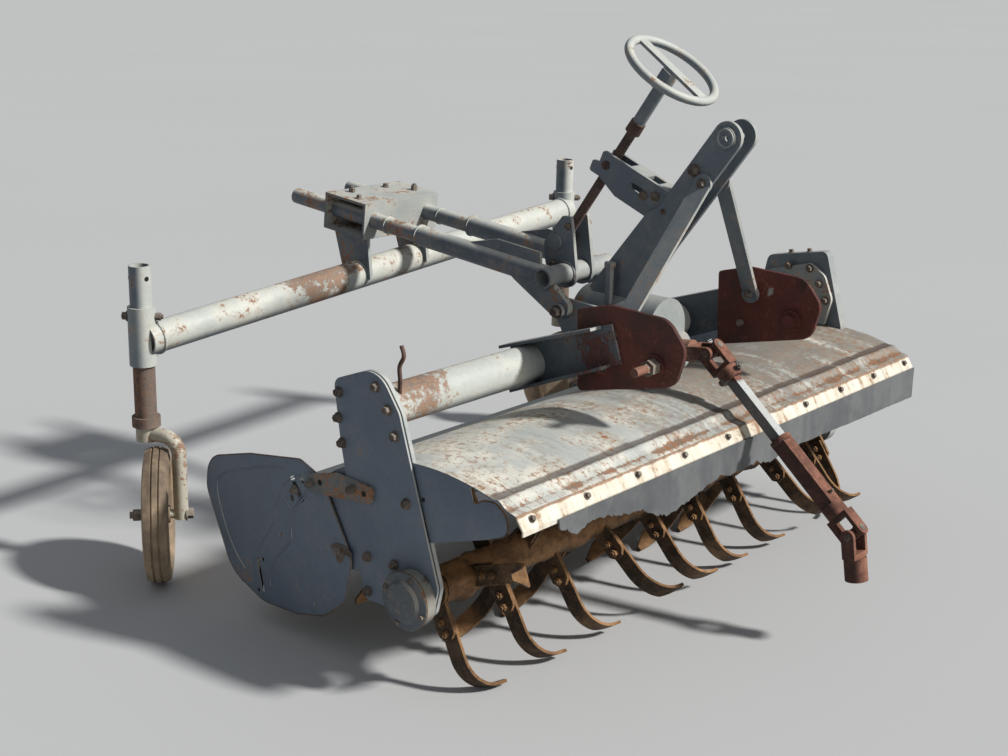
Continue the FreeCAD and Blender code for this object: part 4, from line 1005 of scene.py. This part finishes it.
# link pins: bare stub with a collar nut
def makeLinkPins():
    for tag, side in (("near", -1), ("far", 1)):
        stub = lathe("pinStub", [(11.9, 0), (11.9, 78), (10.4, 80.6), (0.01, 80.8)], at(side * 345.5, -400, 745),
                     (side, 0, 0), 28)
        settle(stub, "pinStub_" + tag, "tiller_frame", "shaft")
        fasteners("pinNut_" + tag, "tiller_frame", "bolt", [(nut, (side * 343, -400, 745), (side, 0, 0), 38)])
        ring = lathe("holeRing", [(8, -1), (14, 0), (15, 1.5), (13, 3), (9, 3), (8, -1)], at(side * 336, -236, 709),
                     (side, 0, 0), 24)
        settle(ring, "holeRing_" + tag, "tiller_frame", "bolt")
        # painted shade: a dark disc in the plate's hole
        dark = lathe("holeDark", [(0.01, 1.2), (9, 1.2), (9, -2), (0.01, -2)], at(side * 336, -236, 709),
                     (side, 0, 0), 24)
        settle(dark, "holeDark_" + tag, "tiller_frame", "shadeInHole")


makeLinkPins()


# a weld bead round a tube
def bead(name, body, centre, radius, axis, thick, finish, wobble=0.0008):
    quarter = Vector(axis).to_track_quat("Z", "Y")
    points = []
    for i in range(64):
        a = i / 64 * 2 * pi
        r = radius + wobble * sin(i * 2.7)
        points.append(centre + quarter @ Vector((r * cos(a), r * sin(a), wobble * cos(i * 3.9))))
    settle(bent(name, points, thick, 6, True), name, body, finish, 60)


bead("beamWeldNear", "tiller_frame", at(-899, -5, 674.6), 0.0518, (1, 0, 0), 0.0035, "tube")
bead("barWeldNear", "wheel_frame", at(-895, 872, 681.1), 0.0440, (1, 0, 0.077), 0.005, "tube")
bead("barWeldFar", "wheel_frame", at(869, 872, 816.9), 0.0440, (1, 0, 0.077), 0.005, "tube")
bead("crossWeldNear", "wheel_frame", at(-44, 121, 851), 0.0315, (1, 0, 0), 0.0035, "frame")
bead("crossWeldFar", "wheel_frame", at(44, 121, 851), 0.0315, (1, 0, 0), 0.0035, "frame")
bead("mastEyeNear", "tiller_frame", at(-48.4, -378, 1281), 0.0225, (1, 0, 0), 0.0035, "tube", 0.0)
bead("mastEyeFar", "tiller_frame", at(48.4, -378, 1281), 0.0225, (1, 0, 0), 0.0035, "tube", 0.0)
print("caps and welds made")

# hood: one long sheet with its pressed crease, a valley before the lip and shallow dents
hoodForm = {
    "centreY": -215.0, "centreZ": -64.0, "radius": 650.0, "half": 942.0, "front": -466.0, "rear": 150.0,
    "thick": 0.003, "ridge": -414.0, "alongX": 320, "alongY": 110,
    # the support plate stands in this opening at the far end
    "openX": 911.0, "openFrom": -248.0, "openTo": 76.0,
    "dents": [(-700, -330, 90, 6), (-560, -200, 120, 5), (-830, -260, 60, 4), (-250, -330, 110, 4),
              (180, -300, 120, 4), (470, -340, 90, 5), (760, -260, 110, 4)],
}


def hoodTop(y):
    return hoodForm["centreZ"] + sqrt(hoodForm["radius"] ** 2 - (y - hoodForm["centreY"]) ** 2)


# how far the sheet stands off its rolled radius
def hoodRise(x, y):
    ridge = hoodForm["ridge"] + noise.noise(Vector((x * 0.006, 2, 0))) * 3
    away = y - ridge
    rise = 6.0 * exp(-(away / (9 if away > 0 else 13)) ** 2) - 2.5 * exp(-((away + 27) / 11) ** 2)
    for dx, dy, reach, depth in hoodForm["dents"]:
        rise -= depth * exp(-((x - dx) ** 2 + ((y - dy) * 1.6) ** 2) / reach ** 2)
    rise -= (0.5 + noise.noise(Vector((x * 0.005, y * 0.012, 4)))) * 1.6
    return rise * min(1, (y - hoodForm["front"]) / 14)


def makeHood():
    bpy.ops.object.select_all(action="DESELECT")
    bpy.ops.mesh.primitive_grid_add(x_subdivisions=hoodForm["alongX"], y_subdivisions=hoodForm["alongY"], size=1)
    hood = bpy.context.active_object
    for vertex in hood.data.vertices:
        x = vertex.co.x * 2 * hoodForm["half"]
        y = hoodForm["front"] + (vertex.co.y + 0.5) * (hoodForm["rear"] - hoodForm["front"])
        slope = (y - hoodForm["centreY"]) / hoodForm["radius"]
        rise = hoodRise(x, y)
        vertex.co = at(x, y + slope * rise, hoodTop(y) + sqrt(1 - slope * slope) * rise)
    only(hood)
    bpy.ops.object.mode_set(mode="EDIT")
    mesh = bmesh.from_edit_mesh(hood.data)
    edge = at(hoodForm["openX"], hoodForm["openFrom"], 0)
    end = at(hoodForm["openX"], hoodForm["openTo"], 0)
    for face in mesh.faces:
        middle = face.calc_center_median()
        face.select_set(middle.x > edge.x and edge.y < middle.y < end.y)
    bmesh.update_edit_mesh(hood.data)
    bpy.ops.mesh.delete(type="FACE")
    bpy.ops.object.mode_set(mode="OBJECT")
    skin = hood.modifiers.new("skin", "SOLIDIFY")
    skin.thickness = hoodForm["thick"]
    skin.offset = -1
    settle(hood, "hoodSheet", "tiller_frame", "hood", 50)
    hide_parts("hood")


makeHood()

# hood's end plates: the lobe at the front with its rolled edge, and the piece behind the case
endSet = {
    "x": 942.0, "thick": 3.5,
    "lobe": [(-341, 538), (-352, 536), (-371, 547), (-403, 551), (-428, 538), (-441, 518), (-444, 495),
             (-433, 478), (-394, 461)],
    "near": {"start": -150, "low": (-200, 396), "rear": [(-20, 260), (90, 250), (150, 392), (150, 470)], "from": 0},
    "far": {"start": -248, "low": (-248, 412), "rear": [(14, 264), (90, 250), (150, 392), (150, 470)], "from": 76},
}


def makeEnds():
    for tag, side in (("near", -1), ("far", 1)):
        look = endSet[tag]
        x = side * endSet["x"]
        arc = [(y, hoodTop(y) - 3) for y in range(look["start"], -342, -12)]
        front = flatPlate("endFront", arc + endSet["lobe"] + [look["low"]], x, x - side * endSet["thick"], 0.0008)
        settle(front, "endFront_" + tag, "tiller_frame", "case")
        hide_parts("hood")
        arc = [(y, hoodTop(y) - 3) for y in range(148, look["from"], -12)]
        behind = flatPlate("endRear", arc + look["rear"], x, x - side * endSet["thick"], 0.0008)
        settle(behind, "endRear_" + tag, "tiller_frame", "case")
        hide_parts("hood")
        line = flowing([at(x - side * 1.6, y, z) for y, z in endSet["lobe"]], 5)
        settle(bent("lobeEdge", line, 0.0022, 6), "lobeEdge_" + tag, "tiller_frame", "soil", 60)
        # painted shade: a dark disc for the hole in the end plate
        dark = lathe("endHole", [(0.01, 0.6), (5.5, 0.6), (5.5, -1), (0.01, -1)], at(x, -187, 501), (side, 0, 0), 20)
        settle(dark, "endHole_" + tag, "tiller_frame", "shadeInHole")


makeEnds()
print("hood made")

# front flap: rubber with a ragged lower edge
flapSet = {
    "top": 501.6, "y": -492.0, "thick": 0.004, "left": -820.0, "right": 938.0,
    "edge": [(-820, 20), (-754, 54), (-700, 38), (-662, 40), (-615, 50), (-560, 60), (-499, 66), (-438, 98),
             (-376, 112), (-282, 98), (-240, 88), (-147, 70), (-100, 84), (22, 76), (103, 98), (192, 76),
             (300, 84), (938, 94)],
}


def makeFlap():
    lengths = flapSet["edge"]
    cuts = 300
    rows = 6
    bpy.ops.object.select_all(action="DESELECT")
    bpy.ops.mesh.primitive_grid_add(x_subdivisions=cuts, y_subdivisions=rows, size=1)
    flap = bpy.context.active_object
    for vertex in flap.data.vertices:
        u = vertex.co.x + 0.5
        v = vertex.co.y + 0.5
        x = flapSet["left"] + (flapSet["right"] - flapSet["left"]) * u
        for (xa, da), (xb, db) in zip(lengths, lengths[1:]):
            if xa <= x <= xb:
                drop = da + (db - da) * (x - xa) / (xb - xa)
                break
        ragged = 1 if x < 260 else 0.15
        drop += ragged * (noise.noise(Vector((x * 0.05, 1, 0))) * 9 + noise.noise(Vector((x * 0.16, 4, 0))) * 5)
        wave = noise.noise(Vector((x * 0.004, v * 0.6, 5))) * 5 * (1 - v)
        curl = ragged * (1 - v) ** 2 * noise.noise(Vector((x * 0.02, 2, 9))) * 7
        y = flapSet["y"] + max(-1.5, min(4.0, wave + curl))
        vertex.co = at(x, y, flapSet["top"] - drop * (1 - v))
    skin = flap.modifiers.new("skin", "SOLIDIFY")
    skin.thickness = flapSet["thick"]
    skin.offset = 0
    settle(flap, "frontFlap", "tiller_frame", "flap", 50)
    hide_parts("front_flap")


makeFlap()
print("flap torn")

# side shields: slots and holes cut through the sheet, with its pressed lines
shieldSet = {
    "x": 947.5, "thick": 3.0,
    "rimLine": [(283, 461), (311, 458), (368, 445), (438, 422), (505, 398), (545, 376), (558, 345), (547, 293),
                (523, 233), (489, 176), (449, 138)],
    "ridge": [(203, 413), (233, 382), (252, 341), (265, 306), (269, 273), (295, 241), (324, 208), (342, 170),
              (352, 138), (351, 118)],
    "fold": [(290, 418), (308, 382), (326, 341), (330, 312), (351, 274), (381, 233), (403, 189), (425, 141)],
    "boss": [(290, 418), (256, 445), (223, 459), (202, 449), (202, 430), (233, 394), (259, 358), (280, 370),
             (299, 388), (290, 418)],
    "slots": [((222, 446), (262, 388), 9.0), ((379, 186), (399, 94), 5.5)],
    "holes": [(305, 275, 6.5), (178, 121, 6.0)],
    "hook": [(120, 300), (100, 312), (72, 314), (46, 304), (44, 290), (70, 292), (80, 266), (96, 268), (98, 292)],
    "outline": [(158, 474, 20), (228, 500, 30), (420, 468, 160), (590, 420, 70), (600, 330, 60), (505, 120, 110),
                (380, 68, 110), (250, 74, 90), (150, 100, 60), (72, 160, 60), (44, 284, 60), (140, 452, 16)],
}


def makeShield(tag, side):
    x = side * shieldSet["x"]
    sheet = flatPlate("shieldSheet", rounded(shieldSet["outline"], 10), x,
                      x + side * (shieldSet["thick"] - 0.3), 0.0006)
    only(sheet)
    for modifier in list(sheet.modifiers):
        bpy.ops.object.modifier_apply(modifier=modifier.name)
    mid = side * (shieldSet["x"] + shieldSet["thick"] / 2)
    tools = []
    for (ya, za), (yb, zb), r in shieldSet["slots"]:
        for y, z in ((ya, za), (yb, zb)):
            tools.append((y, z, r, None))
        tools.append(((ya + yb) / 2, (za + zb) / 2, r, (yb - ya, zb - za)))
    for y, z, r in shieldSet["holes"]:
        tools.append((y, z, r, None))
    for y, z, r, run in tools:
        bpy.ops.object.select_all(action="DESELECT")
        if run is None:
            bpy.ops.mesh.primitive_cylinder_add(vertices=20, radius=r / 1000, depth=0.03, rotation=(0, pi / 2, 0),
                                                location=at(mid, y, z))
        else:
            bpy.ops.mesh.primitive_cube_add(size=1, location=at(mid, y, z))
            tool = bpy.context.active_object
            length = hypot(*run) / 1000
            tool.scale = (0.03, 2 * r / 1000, length)
            tool.rotation_euler = (-Vector((run[0], run[1])).angle_signed(Vector((0, 1))), 0, 0)
        tool = bpy.context.active_object
        only(sheet)
        cut = sheet.modifiers.new("cut", "BOOLEAN")
        cut.operation = "DIFFERENCE"
        cut.solver = "EXACT"
        cut.object = tool
        bpy.ops.object.modifier_apply(modifier="cut")
        bpy.data.objects.remove(tool)
    settle(sheet, "shieldSheet_" + tag, "rear_cover", "case")
    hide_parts("side_shield_" + tag)
    face = side * (shieldSet["x"] + shieldSet["thick"] - 0.4)
    for name, line, radius, finish in (("rimLine", shieldSet["rimLine"], 0.0024, "case"),
                                       ("ridge", shieldSet["ridge"], 0.0028, "case"),
                                       ("fold", shieldSet["fold"], 0.0014, "case"),
                                       ("boss", shieldSet["boss"], 0.0016, "case")):
        points = flowing([at(face, y, z) for y, z in line])
        pressed = bent(name, points, radius, 8)
        settle(pressed, "shield_" + name + "_" + tag, "rear_cover", finish, 60)
    border = [at(side * (shieldSet["x"] + shieldSet["thick"] / 2), y, z)
              for y, z in rounded(shieldSet["outline"], 10)]
    settle(bent("border", border, 0.0021, 6, True), "shield_border_" + tag, "rear_cover", "bolt", 60)
    # painted shade: a dark sheet behind the slot, where the floor would show through
    behind = [(365, 208), (387, 208), (415, 78), (393, 78)]
    shut = flatPlate("slotShade", behind, side * (shieldSet["x"] - 3.5), side * (shieldSet["x"] - 2.5))
    settle(shut, "slotShade_" + tag, "rear_cover", "shadeInHole")
    hook = flatPlate("hook", shieldSet["hook"], side * (shieldSet["x"] + 2), side * (shieldSet["x"] + 8), 0.0012)
    settle(hook, "shieldHook_" + tag, "rear_cover", "bolt")
    fasteners("shieldBolt_" + tag, "rear_cover", "bolt",
              [(head, (side * (shieldSet["x"] + 2.5), 249, 414), (side, 0, 0), 15),
               (nut, (side * (shieldSet["x"] + 8), 86, 300), (side, 0, 0), 15)])


makeShield("near", -1)
makeShield("far", 1)
print("shields cut")

# strap holes and post holes shown as discs of painted shade, and the pins through the sleeves


# a shallow disc that paints the shade of a hole, dark unless another finish is given
def disc(name, body, place, direction, radius, finish="shadeInHole", thick=0.8):
    piece = lathe(name, [(0.01, thick), (radius * 0.9, thick), (radius, thick * 0.4), (radius, -1.5), (0.01, -1.5)],
                  place, direction, 24)
    settle(piece, name, body, finish, 30)


for tag, side in (("near", -1), ("far", 1)):
    for i, (y, z) in enumerate(((146, 462), (-8, 473))):
        disc("strapHole%d_%s" % (i, tag), "tiller_frame", at(side * 960, y, z), (side, 0, 0), 7.5)
sideways = Vector((-0.647, 0.762, 0))
for tag, x, z in (("near", -930, 744), ("far", 905, 862)):
    spot = Vector((x, 884, z))
    ends = [spot + sideways * 38, spot - sideways * 38]
    fasteners("postPin_" + tag, "wheel_frame", "bolt", [(head, tuple(ends[0]), tuple(sideways), 19),
                                                        (nut, tuple(ends[1]), tuple(-sideways), 19)])
    spot = Vector((x, 884, z + 108))
    disc("postHole_" + tag, "wheel_frame", at(*(spot + sideways * 29.6)), sideways, 7)
    disc("postHoleFront_" + tag, "wheel_frame", at(*(spot + Vector((0, -29.6, 0)))), (0, -1, 0), 7)


# hook rod behind the beam
def makeHook():
    points = flowing([at(-868, -36, 700), at(-868, -38, 742), at(-866, -34, 775), at(-862, -44, 802),
                      at(-860, -34, 826)])
    settle(bent("beamHook", points, 0.0055, 8), "beamHook", "tiller_frame", "screw", 60)


makeHook()

# gauge wheels: axle nuts and bolt heads, and hub caps
wheelSet = {"heading": 140.0, "postX": -930.0, "farX": 905.0, "postY": 884.0}


def wheelWay(local, far):
    c = cos(radians(wheelSet["heading"]))
    s = sin(radians(wheelSet["heading"]))
    x = local[0] * c - local[1] * s
    y = local[0] * s + local[1] * c
    return (-x if far else x, y, 0)


def wheelPlace(local, far):
    x, y, _ = wheelWay(local[:2], far)
    return (wheelSet["farX" if far else "postX"] + x, wheelSet["postY"] + y, local[2])


for tag, far in (("near", False), ("far", True)):
    fasteners("axleNuts_" + tag, "caster_" + tag, "bolt",
              [(nut, wheelPlace((20, 60, 190), far), wheelWay((1, 0), far), 30),
               (head, wheelPlace((-101, 60, 190), far), wheelWay((-1, 0), far), 26)])
    hub = wheelPlace((11, 60, 190), far)
    cap = lathe("hubRing", [(14, 0), (22, 0), (24, 2.5), (20, 5), (14, 5)], at(*hub), wheelWay((1, 0), far), 28)
    settle(cap, "hubRing_" + tag, "wheel_" + tag, "bolt")
print("small pieces set")

# the patterns themselves are not part of the machine
bpy.data.objects.remove(headPattern)
bpy.data.objects.remove(nutPattern)
